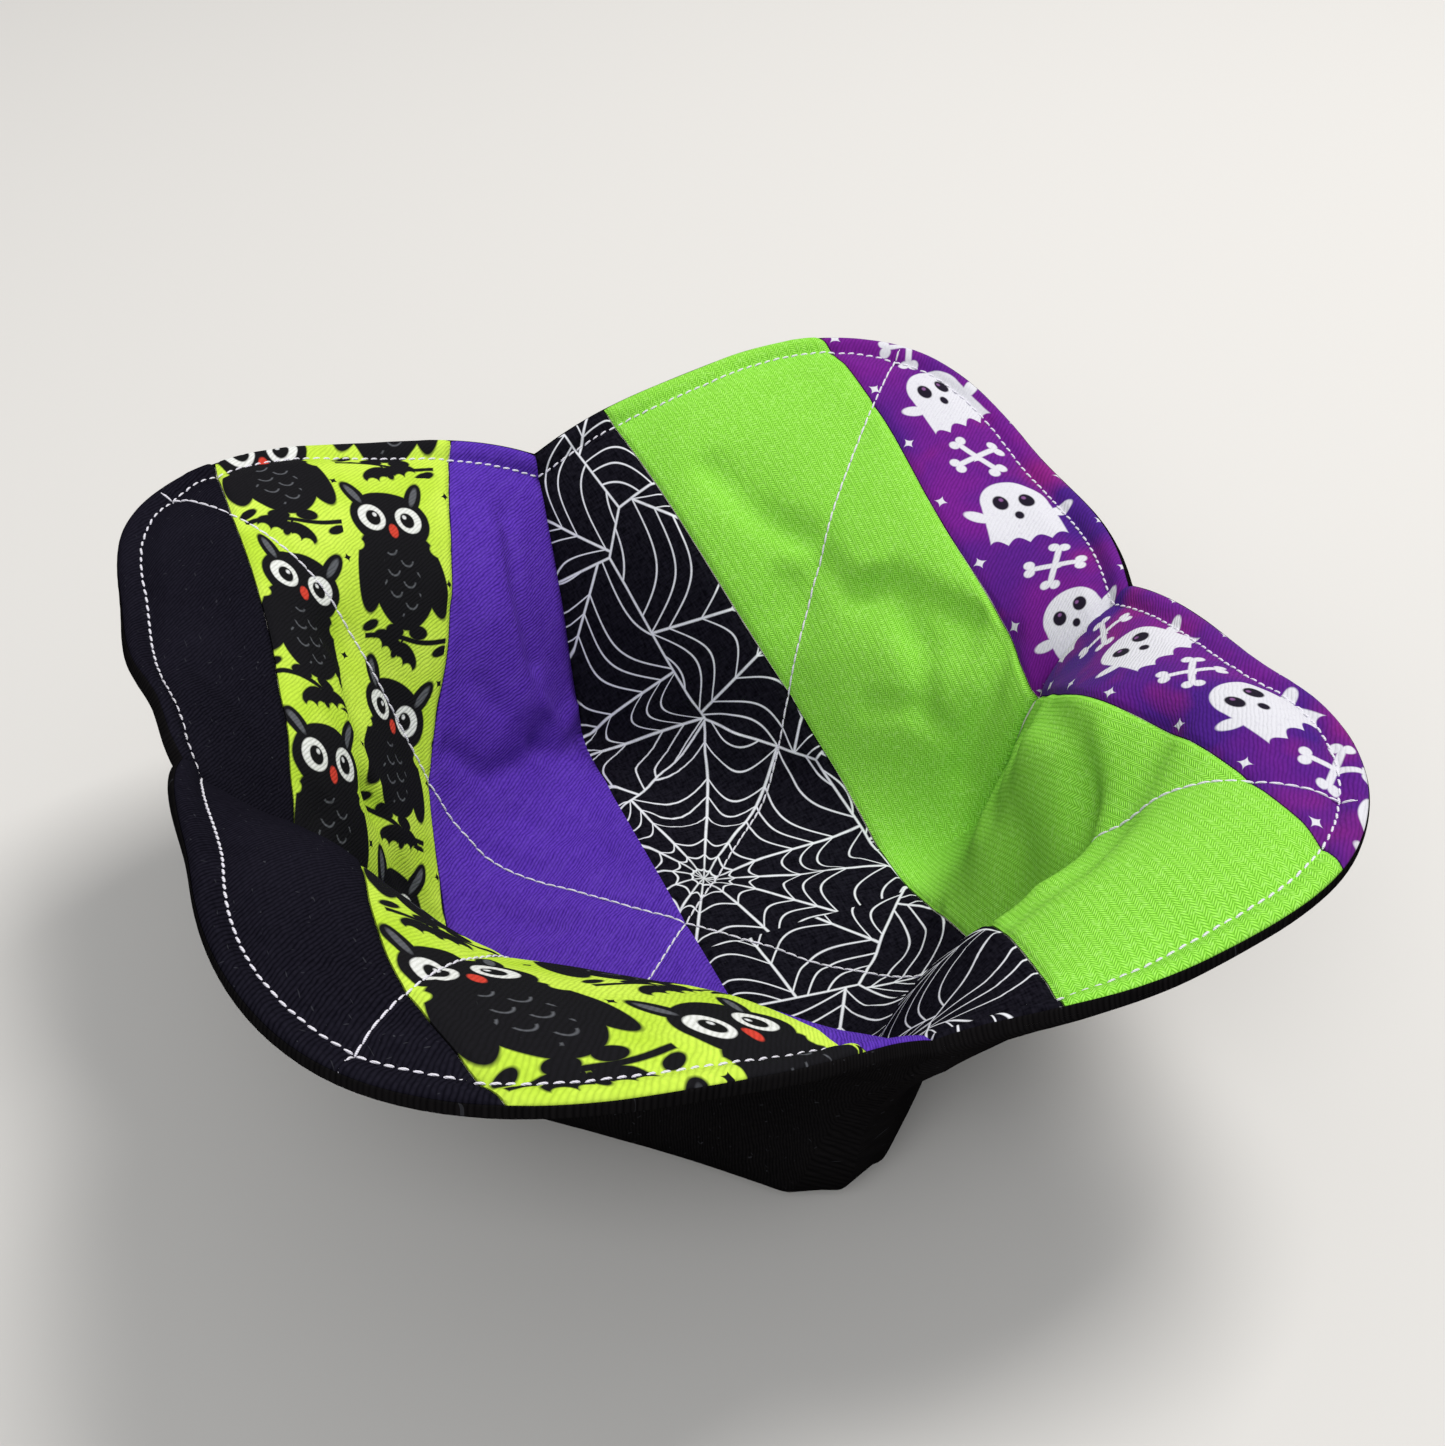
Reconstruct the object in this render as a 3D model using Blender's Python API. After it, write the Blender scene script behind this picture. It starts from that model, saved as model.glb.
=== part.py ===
"""Microwave bowl cozy: a soft square holder that keeps hands off a hot bowl.

Two squares of cotton, each quilted to its own batting, have a dart sewn into the middle of every side.
The darts pull the flat squares up into a bowl with a small floor and four corner flaps. The two are sewn
together round the edge, turned right side out, and topstitched. The inner square, the lining, is pieced
from six strips. The outer square, the shell, is one plain cloth.

Every layer is made from one shape. A place on the cloth is known by its flap, by its turn between that
flap's two darts (0 to 1), and by its distance from the middle of the cloth along a line that runs straight
to the fold between floor and flap, and from there straight to the edge. Cloth doesn't stretch, so those
lines keep their flat length, and only their slope changes on the way up.

Units are metres, +Z is up, and the cozy stands on z = 0. X and Y lie along the sides of the flat square.
"""

import math

import bmesh
import bpy
import numpy as np

# The flat square, as it is after sewing
HALF_SIDE = 0.1206
CORNER_RADIUS = 0.046
DART_LENGTH = 0.0571
DART_HALF_WIDTH = 0.0229

# The lining's strips, measured from the middle seam outwards; the outermost two take the rest
PURPLE_WIDTH = 0.0445
LIME_WIDTH = 0.0490
WEB_WIDTH = 0.0450
GREEN_WIDTH = 0.0485

# The layers
CLOTH = 0.0007
BATTING = 0.0020
LAYER_GAP = 0.0003
SEAM_GAP = 0.0003

# The edge: a full roll outside the topstitching, which pinches the layers into a groove
STITCH_INSET = 0.0048
STITCH_HALF_THICKNESS = 0.0018
ROLL_WIDTH = 0.0020
ROLL_HALF_THICKNESS = 0.0023
EDGE_HALF_THICKNESS = 0.00045
PINCH_END = 0.0100
BATTING_INSET = 0.0010
EDGE_LIFT = 0.0010

# The shell stands off the lining along the fold between floor and flaps, where the wadding puffs up
PUFF_DEPTH = 0.0055
PUFF_WIDTH = 0.0160
STEEPEST_NORMAL = 0.05

# The quilting: white thread from corner to corner, sunk a little into the lining
THREAD = 0.0006
QUILT_DIP = 0.0006

# The bend between floor and flaps, as far as it reaches to each side of the fold
KNEE_WIDTH = 0.0160

# How the wall rises round the cozy, from the front dart anticlockwise: its slope at the foot, how much
# steeper it is half-way up than the plain run from foot to lip, its slope at the lip, and how far it
# swings round from straight out. All are in degrees.
STATIONS = (
    ("front dart", 74, 0, 50, 4),
    ("front right flap, front", 76, 5, 11, 5),
    ("front right corner", 38, 50, -6, 1),
    ("front right flap, back", 81, 17, 3, -5),
    ("right dart", 86, 0, 38, 4),
    ("back right flap, front", 81, -6, 10, 7),
    ("back right corner", 72, -2, 17, 0),
    ("back right flap, back", 80, 2, 21, -2),
    ("back dart", 76, -4, 52, -4),
    ("back left flap, back", 76, 13, 10, 0),
    ("back left corner", 59, 34, -5, -3),
    ("back left flap, front", 86, 1, 10, -17),
    ("left dart", 88, -2, 52, -20),
    ("front left flap, back", 55, 48, 11, -6),
    ("front left corner", 67, 18, 4, 2),
    ("front left flap, front", 80, 5, 16, 10),
)
STATIONS_PER_FLAP = 4

# Soft folds in the walls: the flap, the line of the fold on the flat cloth, how deep it sinks outwards
# (a ridge is negative), and its half width
FRONT_RIGHT, BACK_RIGHT, BACK_LEFT, FRONT_LEFT = range(4)
FOLDS = (
    (FRONT_RIGHT, ((0.088, -0.020), (0.063, -0.042)), 0.0022, 0.007),
    (FRONT_RIGHT, ((0.094, -0.066), (0.076, -0.062)), 0.0018, 0.007),
    (BACK_RIGHT, ((0.062, 0.089), (0.061, 0.072), (0.058, 0.061)), 0.0018, 0.008),
    (BACK_RIGHT, ((0.073, 0.052), (0.079, 0.039), (0.085, 0.033)), 0.0022, 0.007),
    (BACK_LEFT, ((-0.033, 0.099), (-0.030, 0.082), (-0.022, 0.066)), -0.0022, 0.007),
    (BACK_LEFT, ((-0.074, 0.065), (-0.075, 0.047), (-0.068, 0.034)), 0.0026, 0.007),
    (BACK_LEFT, ((-0.121, 0.040), (-0.095, 0.036)), -0.0020, 0.012),
    (FRONT_LEFT, ((-0.080, -0.060), (-0.062, -0.074)), -0.0015, 0.009),
)
FOLD_FREE_TURN = 0.10

# How finely the cloth is cut up
RAYS_PER_FLAP = 10
KNEE_SHARES = (-0.5, 0.0, 0.5)
WALL_ROWS = 5
RIM_INSETS = (0.0072, STITCH_INSET, ROLL_WIDTH, BATTING_INSET, 0.0003, 0.0)
LEVEL_ROWS = 2
WALK_STEP = 0.0005
WELD = 1e-6

# What the layers above give
HALF_SANDWICH = CLOTH + LAYER_GAP + BATTING + LAYER_GAP / 2
FLOOR_HEIGHT = 2 * HALF_SANDWICH
TIP_REACH = HALF_SIDE - DART_LENGTH
FLAPS = 4
DART_DIRECTIONS = ((0, -1), (1, 0), (0, 1), (-1, 0))

LINING_COLOURS = {
    "lining_black_strip": (0.012, 0.012, 0.016),
    "lining_lime_strip": (0.500, 0.680, 0.060),
    "lining_purple_strip": (0.090, 0.028, 0.330),
    "lining_web_strip": (0.014, 0.012, 0.018),
    "lining_green_strip": (0.200, 0.600, 0.025),
    "lining_violet_strip": (0.120, 0.012, 0.190),
}
SHELL_COLOUR = (0.010, 0.010, 0.012)
BATTING_COLOUR = (0.800, 0.770, 0.690)
THREAD_COLOUR = (0.800, 0.790, 0.830)
CLOTH_ROUGHNESS = 0.9
THREAD_ROUGHNESS = 0.6


def ease(share):
    """Goes from 0 to 1 with no corner at either end."""
    share = np.clip(share, 0.0, 1.0)
    return share * share * (3 - 2 * share)


def along_flap(values, turn):
    """A smooth curve (Catmull-Rom) through evenly spaced values, from one dart at turn 0 to the next at 1."""
    values = list(values)
    values = [2 * values[0] - values[1]] + values + [2 * values[-1] - values[-2]]
    position = min(turn * STATIONS_PER_FLAP, STATIONS_PER_FLAP - 1e-9)
    first = int(position)
    part = position - first
    a, b, c, d = values[first : first + 4]
    linear = (c - a) * part
    square = (2 * a - 5 * b + 4 * c - d) * part**2
    cube = (3 * b - a - 3 * c + d) * part**3
    return 0.5 * (2 * b + linear + square + cube)


def station_values(flap, column):
    """One column of STATIONS, at the five stations of a flap."""
    first = flap * STATIONS_PER_FLAP
    return [STATIONS[(first + step) % len(STATIONS)][column] for step in range(STATIONS_PER_FLAP + 1)]


def to_flat(flap, along_first, along_second):
    """Flat x and y of a place that is given along the flap's two dart directions."""
    first = np.array(DART_DIRECTIONS[flap], float)
    second = np.array(DART_DIRECTIONS[(flap + 1) % FLAPS], float)
    return along_first * first + along_second * second


def fold_point(flap, turn):
    """Where a ray crosses the fold between floor and flap, which runs from dart tip to dart tip."""
    return to_flat(flap, TIP_REACH * (1 - turn), TIP_REACH * turn)


def edge_point(flap, turn):
    """Where a ray meets the sewn edge, and the edge's outward direction there, both on the flat cloth."""
    straight = HALF_SIDE - CORNER_RADIUS - DART_HALF_WIDTH
    arc = CORNER_RADIUS * math.pi / 2
    walked = turn * (2 * straight + arc)
    if walked <= straight:
        place, outward = (HALF_SIDE, DART_HALF_WIDTH + walked), (1, 0)
    elif walked >= straight + arc:
        place, outward = (DART_HALF_WIDTH + 2 * straight + arc - walked, HALF_SIDE), (0, 1)
    else:
        angle = (walked - straight) / CORNER_RADIUS
        outward = (math.cos(angle), math.sin(angle))
        middle = HALF_SIDE - CORNER_RADIUS
        place = (middle + CORNER_RADIUS * outward[0], middle + CORNER_RADIUS * outward[1])
    return to_flat(flap, *place), to_flat(flap, *outward)


def half_thickness(inset):
    """Half the thickness of the whole sandwich at a distance in from the sewn edge."""
    if inset < ROLL_WIDTH:
        bulge = math.sqrt(1 - (1 - inset / ROLL_WIDTH) ** 2)
        return EDGE_HALF_THICKNESS + (ROLL_HALF_THICKNESS - EDGE_HALF_THICKNESS) * bulge
    if inset < STITCH_INSET:
        sink = float(ease((inset - ROLL_WIDTH) / (STITCH_INSET - ROLL_WIDTH)))
        return ROLL_HALF_THICKNESS + (STITCH_HALF_THICKNESS - ROLL_HALF_THICKNESS) * sink
    rise = float(ease((inset - STITCH_INSET) / (PINCH_END - STITCH_INSET)))
    return STITCH_HALF_THICKNESS + (HALF_SANDWICH - STITCH_HALF_THICKNESS) * rise


def middle_depth(inset):
    """How far the sandwich's middle lies under the lining's full face. The thin edge lies a little higher."""
    return HALF_SANDWICH - EDGE_LIFT * (1 - float(ease(inset / PINCH_END)))


def distance_to_line(place, line):
    """The distance from a flat place to a line of two or more points."""
    nearest = math.inf
    for start, end in zip(line, line[1:]):
        start, end = np.array(start), np.array(end)
        run = end - start
        share = np.clip(np.dot(place - start, run) / np.dot(run, run), 0.0, 1.0)
        nearest = min(nearest, float(np.linalg.norm(place - start - share * run)))
    return nearest


def sink_at(flap, turn, flat):
    """How far the folds sink this place outwards. They die out before the darts, which hold the cloth."""
    free = float(ease(min(turn, 1 - turn) / FOLD_FREE_TURN))
    sunk = 0.0
    for fold_flap, line, depth, half_width in FOLDS:
        if fold_flap == flap:
            sunk += depth * math.exp(-((distance_to_line(flat, line) / half_width) ** 2))
    return sunk * free


def ray(flap, turn):
    """The rows of one ray from the cloth's middle to its edge: flat places, real places, and insets."""
    fold = fold_point(flap, turn)
    edge, outward = edge_point(flap, turn)
    inner = float(np.linalg.norm(fold))
    wall = float(np.linalg.norm(edge - fold))
    slant = float(np.dot(edge - fold, outward)) / wall

    heights = [0.0, inner - KNEE_WIDTH]
    heights += [inner + KNEE_WIDTH * share for share in KNEE_SHARES]
    last = inner + wall - PINCH_END / slant
    heights += list(np.linspace(inner + KNEE_WIDTH, last, WALL_ROWS))
    heights += [inner + wall - inset / slant for inset in RIM_INSETS]
    rows = np.array(heights)

    foot, belly, lip, swing = (along_flap(station_values(flap, column), turn) for column in (1, 2, 3, 4))
    walked = np.linspace(0, inner + wall, int((inner + wall) / WALK_STEP) + 1)
    past_fold = walked - inner
    share = np.clip(past_fold / wall, 0, 1)
    slope = foot * ease((past_fold + KNEE_WIDTH) / (2 * KNEE_WIDTH))
    slope = slope + (lip - foot) * ease(share) + belly * np.sin(math.pi * share) ** 2
    slope = np.radians(slope)
    first_dart = math.atan2(DART_DIRECTIONS[flap][1], DART_DIRECTIONS[flap][0])
    floor_heading = math.atan2(fold[1], fold[0])
    wall_heading = first_dart + math.radians(90 * turn + swing)
    heading = np.where(past_fold < 0, floor_heading, wall_heading)

    direction = np.stack([np.cos(slope) * np.cos(heading), np.cos(slope) * np.sin(heading), np.sin(slope)], 1)
    steps = 0.5 * (direction[1:] + direction[:-1]) * np.diff(walked)[:, None]
    path = np.vstack([[0, 0, FLOOR_HEIGHT], np.cumsum(steps, 0) + [0, 0, FLOOR_HEIGHT]])
    places = np.stack([np.interp(rows, walked, path[:, axis]) for axis in range(3)], 1)

    flat = [fold * min(row / inner, 1) + (edge - fold) * max(row - inner, 0) / wall for row in rows]
    insets = (inner + wall - rows) * slant
    return np.array(flat), places, insets


def facing(places):
    """Unit normals of a grid of places on the inner side, from the neighbours of each place. The floor
    is level as far as the knee."""
    across = np.gradient(places, axis=0)
    outwards = np.gradient(places, axis=1)
    normals = np.cross(outwards, across)
    normals[:, :LEVEL_ROWS] = (0, 0, 1)
    return normals / np.linalg.norm(normals, axis=2, keepdims=True)


def join_at_darts(normals):
    """Gives the two edges of each dart one normal, so that the layers stay closed where they are sewn."""
    for flap in range(FLAPS):
        after = (flap + 1) % FLAPS
        shared = normals[flap][-1] + normals[after][0]
        shared /= np.linalg.norm(shared, axis=1, keepdims=True)
        normals[flap][-1] = shared
        normals[after][0] = shared
    return normals


def shape_cloth():
    """The lining's inner face: flat places, real places, normals and insets, by flap, ray and row."""
    turns = np.linspace(0, 1, RAYS_PER_FLAP + 1)
    flat, places, insets = [], [], []
    for flap in range(FLAPS):
        rays = [ray(flap, turn) for turn in turns]
        flat.append(np.array([one[0] for one in rays]))
        places.append(np.array([one[1] for one in rays]))
        insets.append(np.array([one[2] for one in rays]))
    for flap in range(FLAPS):
        shared = 0.5 * (places[flap][-1] + places[(flap + 1) % FLAPS][0])
        places[flap][-1] = shared
        places[(flap + 1) % FLAPS][0] = shared
    normals = join_at_darts([facing(one) for one in places])
    for flap in range(FLAPS):
        for column, turn in enumerate(turns):
            for row in range(len(insets[flap][column])):
                sunk = sink_at(flap, turn, flat[flap][column][row])
                places[flap][column][row] -= normals[flap][column][row] * sunk
    normals = join_at_darts([facing(one) for one in places])
    return flat, places, normals, insets


def puff_at(flat, place, normal):
    """How far the shell stands out along the fold. It goes no lower than what the cozy stands on."""
    away = abs(abs(flat[0]) + abs(flat[1]) - TIP_REACH) / math.sqrt(2)
    height = max(place[2] - normal[2] * 2 * HALF_SANDWICH, 0.0)
    return min(PUFF_DEPTH * math.exp(-((away / PUFF_WIDTH) ** 2)), height / max(normal[2], STEEPEST_NORMAL))


def layer_depths(layer, inset, puff):
    """How far a layer's inner and outer faces lie from the sandwich's middle, inwards positive."""
    half = half_thickness(inset)
    middle = LAYER_GAP / 2
    cloth_back = max(half - CLOTH, middle) if inset > 0 else middle
    if layer == "lining":
        return half, cloth_back
    if layer == "lining batting":
        return cloth_back - LAYER_GAP, middle
    if layer == "shell batting":
        return -middle, -(cloth_back - LAYER_GAP) - puff
    return -cloth_back - puff, -half - puff


def quilt_dip(layer, column, row, inset):
    """How far the quilting stitches pull the lining's side in, along the corner-to-corner lines."""
    on_line = column == RAYS_PER_FLAP // 2 or row == 0
    return QUILT_DIP if on_line and inset > PINCH_END and layer.startswith("lining") else 0.0


def layer_faces(cloth, layer, flap):
    """The two faces of a layer over one flap, as grids of places."""
    flat, places, normals, insets = cloth
    inner = np.empty_like(places[flap])
    outer = np.empty_like(places[flap])
    for column, row in np.ndindex(insets[flap].shape):
        inset = insets[flap][column][row]
        place, normal = places[flap][column][row], normals[flap][column][row]
        near, far = layer_depths(layer, inset, puff_at(flat[flap][column][row], place, normal))
        dip = quilt_dip(layer, column, row, inset)
        near -= dip
        far -= dip if layer == "lining" else 0.0
        middle = place - normal * middle_depth(inset)
        inner[column][row] = middle + normal * near
        outer[column][row] = middle + normal * far
    return inner, outer


def open_middle_seam(faces, flap):
    """Draws a flap's edge on the middle seam back by half the seam's gap: the first ray of the front
    right and back left flaps, and the last ray of the other two."""
    column, neighbour = (0, 1) if flap in (FRONT_RIGHT, BACK_LEFT) else (-1, -2)
    side = 1 if flap in (FRONT_RIGHT, BACK_RIGHT) else -1
    for grid in faces:
        towards = grid[neighbour] - grid[column]
        towards[0] = (side, 0, 0)
        towards /= np.linalg.norm(towards, axis=1, keepdims=True)
        grid[column] += towards * SEAM_GAP / 2
        grid[:, 0] = grid[column][0]
    return faces


def new_material(name, colour, roughness):
    material = bpy.data.materials.new(name)
    material.use_nodes = True
    shader = material.node_tree.nodes["Principled BSDF"]
    shader.inputs["Base Color"].default_value = (*colour, 1)
    shader.inputs["Roughness"].default_value = roughness
    shader.inputs["Metallic"].default_value = 0.0
    return material


def add_object(name, bm, colour, roughness):
    """Makes a closed mesh of the piece, with its faces outwards, and gives it its own material."""
    bmesh.ops.recalc_face_normals(bm, faces=bm.faces[:])
    mesh = bpy.data.meshes.new(name)
    bm.to_mesh(mesh)
    bm.free()
    mesh.materials.append(new_material(name, colour, roughness))
    obj = bpy.data.objects.new(name, mesh)
    bpy.context.scene.collection.objects.link(obj)
    return obj


def grid_triangles(columns, rows):
    """Triangles of a grid whose first row is a single point. The cut of each four-sided cell leans
    towards the flap's middle, the same in every layer, so that no layer cuts into the next."""
    triangles = []
    for column in range(columns - 1):
        left_half = column < (columns - 1) / 2
        triangles.append(((0, 0), (column, 1), (column + 1, 1)))
        for row in range(1, rows - 1):
            near_left, near_right = (column, row), (column + 1, row)
            far_left, far_right = (column, row + 1), (column + 1, row + 1)
            if left_half:
                triangles.append((near_left, far_left, far_right))
                triangles.append((near_left, far_right, near_right))
            else:
                triangles.append((near_left, far_left, near_right))
                triangles.append((near_right, far_left, far_right))
    return triangles


def sew_layer(name, cloth, layer, flaps, colour, from_x=None, to_x=None, split_at_middle=False):
    """Makes one layer, or one strip of it: lays the flaps flat, trims them to the strip, takes them to
    their real places, joins them at the darts, and closes the two faces with walls."""
    flat, _, _, insets = cloth
    bm = bmesh.new()
    inner_place = bm.verts.layers.float_vector.new("inner")
    outer_place = bm.verts.layers.float_vector.new("outer")
    for flap in flaps:
        faces = layer_faces(cloth, layer, flap)
        if split_at_middle:
            faces = open_middle_seam(faces, flap)
        columns, rows = insets[flap].shape
        if layer.endswith("batting"):
            rows = RIM_INSETS.index(BATTING_INSET) - len(RIM_INSETS) + rows + 1
        verts = {}
        for triangle in grid_triangles(columns, rows):
            for key in triangle:
                if key not in verts:
                    verts[key] = bm.verts.new((*flat[flap][key], 0))
                    verts[key][inner_place] = faces[0][key]
                    verts[key][outer_place] = faces[1][key]
            bm.faces.new([verts[key] for key in triangle])
    for cut, keep_right in ((from_x, True), (to_x, False)):
        if cut is not None:
            bmesh.ops.bisect_plane(
                bm,
                geom=bm.verts[:] + bm.edges[:] + bm.faces[:],
                plane_co=(cut, 0, 0),
                plane_no=(1, 0, 0),
                clear_inner=keep_right,
                clear_outer=not keep_right,
            )
    for vert in bm.verts:
        vert.co = vert[inner_place]
    bmesh.ops.remove_doubles(bm, verts=bm.verts[:], dist=WELD)
    bmesh.ops.triangulate(bm, faces=[face for face in bm.faces if len(face.verts) > 3])
    close_between(bm, outer_place)
    return add_object(name, bm, colour, CLOTH_ROUGHNESS)


def close_between(bm, outer_place):
    """Adds the outer face behind the inner one, and a wall along every open edge."""
    inner_faces = [[vert for vert in face.verts] for face in bm.faces]
    open_edges = [tuple(edge.verts) for edge in bm.edges if edge.is_boundary]
    behind = {}
    for vert in bm.verts[:]:
        behind[vert] = bm.verts.new(vert[outer_place])
    for verts in inner_faces:
        bm.faces.new([behind[vert] for vert in reversed(verts)])
    for start, end in open_edges:
        bm.faces.new((start, end, behind[end]))
        bm.faces.new((start, behind[end], behind[start]))


def thread_ring(name, centres, normals, closed):
    """A thread with a square section along a run of places, lying on the cloth below it."""
    count = len(centres)
    sections = []
    bm = bmesh.new()
    for index in range(count):
        before = centres[index - 1] if closed or index > 0 else centres[index]
        after = centres[(index + 1) % count] if closed or index < count - 1 else centres[index]
        run = (after - before) / np.linalg.norm(after - before)
        side = np.cross(run, normals[index])
        side /= np.linalg.norm(side)
        corners = []
        for across, up in ((-0.5, 0), (0.5, 0), (0.5, 1), (-0.5, 1)):
            corner = centres[index] + side * across * THREAD + normals[index] * up * THREAD
            corners.append(bm.verts.new(corner))
        sections.append(corners)
    for index in range(count if closed else count - 1):
        here, there = sections[index], sections[(index + 1) % count]
        for corner in range(4):
            following = (corner + 1) % 4
            bm.faces.new((here[corner], here[following], there[following], there[corner]))
    if not closed:
        bm.faces.new(sections[0])
        bm.faces.new(sections[-1][::-1])
    bmesh.ops.triangulate(bm, faces=bm.faces[:])
    return add_object(name, bm, THREAD_COLOUR, THREAD_ROUGHNESS)


def on_lining(cloth, flap, column, row, lift):
    """A place at a height over the lining's inner face, and the normal there."""
    inner, _ = layer_faces(cloth, "lining", flap)
    normal = cloth[2][flap][column][row]
    return inner[column][row] + normal * lift, normal


def rim_topstitch(cloth):
    """The thread that holds the turned edge flat, in its groove all the way round."""
    stitch_row = cloth[3][0].shape[1] - len(RIM_INSETS) + RIM_INSETS.index(STITCH_INSET)
    centres, normals = [], []
    for flap in range(FLAPS):
        for column in range(RAYS_PER_FLAP):
            place, normal = on_lining(cloth, flap, column, stitch_row, LAYER_GAP)
            centres.append(place)
            normals.append(normal)
    return thread_ring("rim_topstitch", centres, normals, closed=True)


def quilting_thread(name, cloth, first_flap, second_flap, hop):
    """The thread of one quilting line, from corner to opposite corner through the cloth's middle."""
    last_row = cloth[3][0].shape[1] - len(RIM_INSETS)
    column = RAYS_PER_FLAP // 2
    centres, normals = [], []
    for row in range(last_row, 0, -1):
        place, normal = on_lining(cloth, first_flap, column, row, LAYER_GAP)
        centres.append(place)
        normals.append(normal)
    place, normal = on_lining(cloth, first_flap, column, 0, LAYER_GAP + hop)
    centres.append(place)
    normals.append(normal)
    for row in range(1, last_row + 1):
        place, normal = on_lining(cloth, second_flap, column, row, LAYER_GAP)
        centres.append(place)
        normals.append(normal)
    return thread_ring(name, centres, normals, closed=False)


def lining_strips(cloth):
    """The six strips, with a fine gap at each seam between them."""
    left, right = (BACK_LEFT, FRONT_LEFT), (FRONT_RIGHT, BACK_RIGHT)
    half_gap = SEAM_GAP / 2
    black_end = -PURPLE_WIDTH - LIME_WIDTH
    violet_start = WEB_WIDTH + GREEN_WIDTH
    strips = (
        ("lining_black_strip", left, None, black_end - half_gap),
        ("lining_lime_strip", left, black_end + half_gap, -PURPLE_WIDTH - half_gap),
        ("lining_purple_strip", left, -PURPLE_WIDTH + half_gap, None),
        ("lining_web_strip", right, None, WEB_WIDTH - half_gap),
        ("lining_green_strip", right, WEB_WIDTH + half_gap, violet_start - half_gap),
        ("lining_violet_strip", right, violet_start + half_gap, None),
    )
    for name, flaps, from_x, to_x in strips:
        sew_layer(name, cloth, "lining", flaps, LINING_COLOURS[name], from_x, to_x, split_at_middle=True)


def main():
    for obj in list(bpy.data.objects):
        bpy.data.objects.remove(obj)
    cloth = shape_cloth()
    lining_strips(cloth)
    sew_layer("lining_batting", cloth, "lining batting", range(FLAPS), BATTING_COLOUR)
    sew_layer("shell_batting", cloth, "shell batting", range(FLAPS), BATTING_COLOUR)
    sew_layer("outer_shell", cloth, "shell", range(FLAPS), SHELL_COLOUR)
    rim_topstitch(cloth)
    quilting_thread("quilting_thread_left_to_right", cloth, BACK_LEFT, FRONT_RIGHT, hop=0.0)
    quilting_thread("quilting_thread_front_to_back", cloth, FRONT_LEFT, BACK_RIGHT, THREAD + LAYER_GAP)


main()
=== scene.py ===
"""The looks of the microwave bowl cozy: fine cloth, seams, prints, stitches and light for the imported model.

Units are metres in the meshes. A finish reads the cloth's own UV map, which holds each place's position on
the flat square in metres, and works in millimetres.
"""

import math

import bmesh
import bpy
import numpy as np
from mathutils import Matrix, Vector, noise


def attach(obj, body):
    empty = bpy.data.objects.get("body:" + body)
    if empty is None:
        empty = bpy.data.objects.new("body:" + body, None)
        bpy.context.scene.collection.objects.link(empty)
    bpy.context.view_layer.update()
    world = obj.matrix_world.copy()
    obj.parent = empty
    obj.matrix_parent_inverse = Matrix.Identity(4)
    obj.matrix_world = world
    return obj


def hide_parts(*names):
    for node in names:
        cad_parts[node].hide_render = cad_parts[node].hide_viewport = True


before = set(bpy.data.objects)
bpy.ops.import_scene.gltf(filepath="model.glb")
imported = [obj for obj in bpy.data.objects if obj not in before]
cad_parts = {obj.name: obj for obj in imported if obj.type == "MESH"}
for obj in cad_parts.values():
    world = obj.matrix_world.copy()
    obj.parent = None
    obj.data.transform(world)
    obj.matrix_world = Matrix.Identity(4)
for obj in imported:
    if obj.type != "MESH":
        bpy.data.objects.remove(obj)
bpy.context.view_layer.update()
bpy.ops.object.select_all(action="DESELECT")


# The outer shell: one square of black cotton twill with round corners. A dart sewn into the middle of each
# side pulls it up into a bowl with a small floor and four corner flaps. Its edge is sewn to the lining's,
# and the two are turned right side out, so that its cloth rolls over the edge.
HALF_SIDE = 0.1206
CORNER_RADIUS = 0.046
DART_LENGTH = 0.0571
DART_HALF_WIDTH = 0.0229
TIP_REACH = HALF_SIDE - DART_LENGTH
FLAPS = 4
DART_DIRECTIONS = ((0, -1), (1, 0), (0, 1), (-1, 0))
KNEE_WIDTH = 0.0160
WALK_STEP = 0.0005

CLOTH = 0.0007
BATTING = 0.0020
LAYER_GAP = 0.0003
HALF_SANDWICH = CLOTH + LAYER_GAP + BATTING + LAYER_GAP / 2
FLOOR_HEIGHT = 2 * HALF_SANDWICH
STITCH_INSET = 0.0048
STITCH_HALF_THICKNESS = 0.0018
ROLL_WIDTH = 0.0020
ROLL_HALF_THICKNESS = 0.0023
EDGE_HALF_THICKNESS = 0.00045
PINCH_END = 0.0100
EDGE_LIFT = 0.0010
PUFF_DEPTH = 0.0055
PUFF_WIDTH = 0.0160
STEEPEST_NORMAL = 0.05
THINNEST = 0.00012
ROLL_REACH = 0.0003
ROLL_PROUD = 0.00015
LINING_END = 0.0004
SHELL_EDGE_SHARE = 0.60
AT_EDGE = 1e-6

# From the front dart anticlockwise: the wall's slope at its foot, how much steeper it is half-way up, its
# slope at the lip, and how far it swings round, all in degrees
STATIONS = (
    ("front dart", 74, 0, 50, 4),
    ("front right flap, front", 76, 5, 11, 5),
    ("front right corner", 38, 50, -6, 1),
    ("front right flap, back", 81, 17, 3, -5),
    ("right dart", 86, 0, 38, 4),
    ("back right flap, front", 81, -6, 10, 7),
    ("back right corner", 72, -2, 17, 0),
    ("back right flap, back", 80, 2, 21, -2),
    ("back dart", 76, -4, 52, -4),
    ("back left flap, back", 76, 13, 10, 0),
    ("back left corner", 59, 34, -5, -3),
    ("back left flap, front", 86, 1, 10, -17),
    ("left dart", 88, -2, 52, -20),
    ("front left flap, back", 55, 48, 11, -6),
    ("front left corner", 67, 18, 4, 2),
    ("front left flap, front", 80, 5, 16, 10),
)
STATIONS_PER_FLAP = 4
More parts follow.
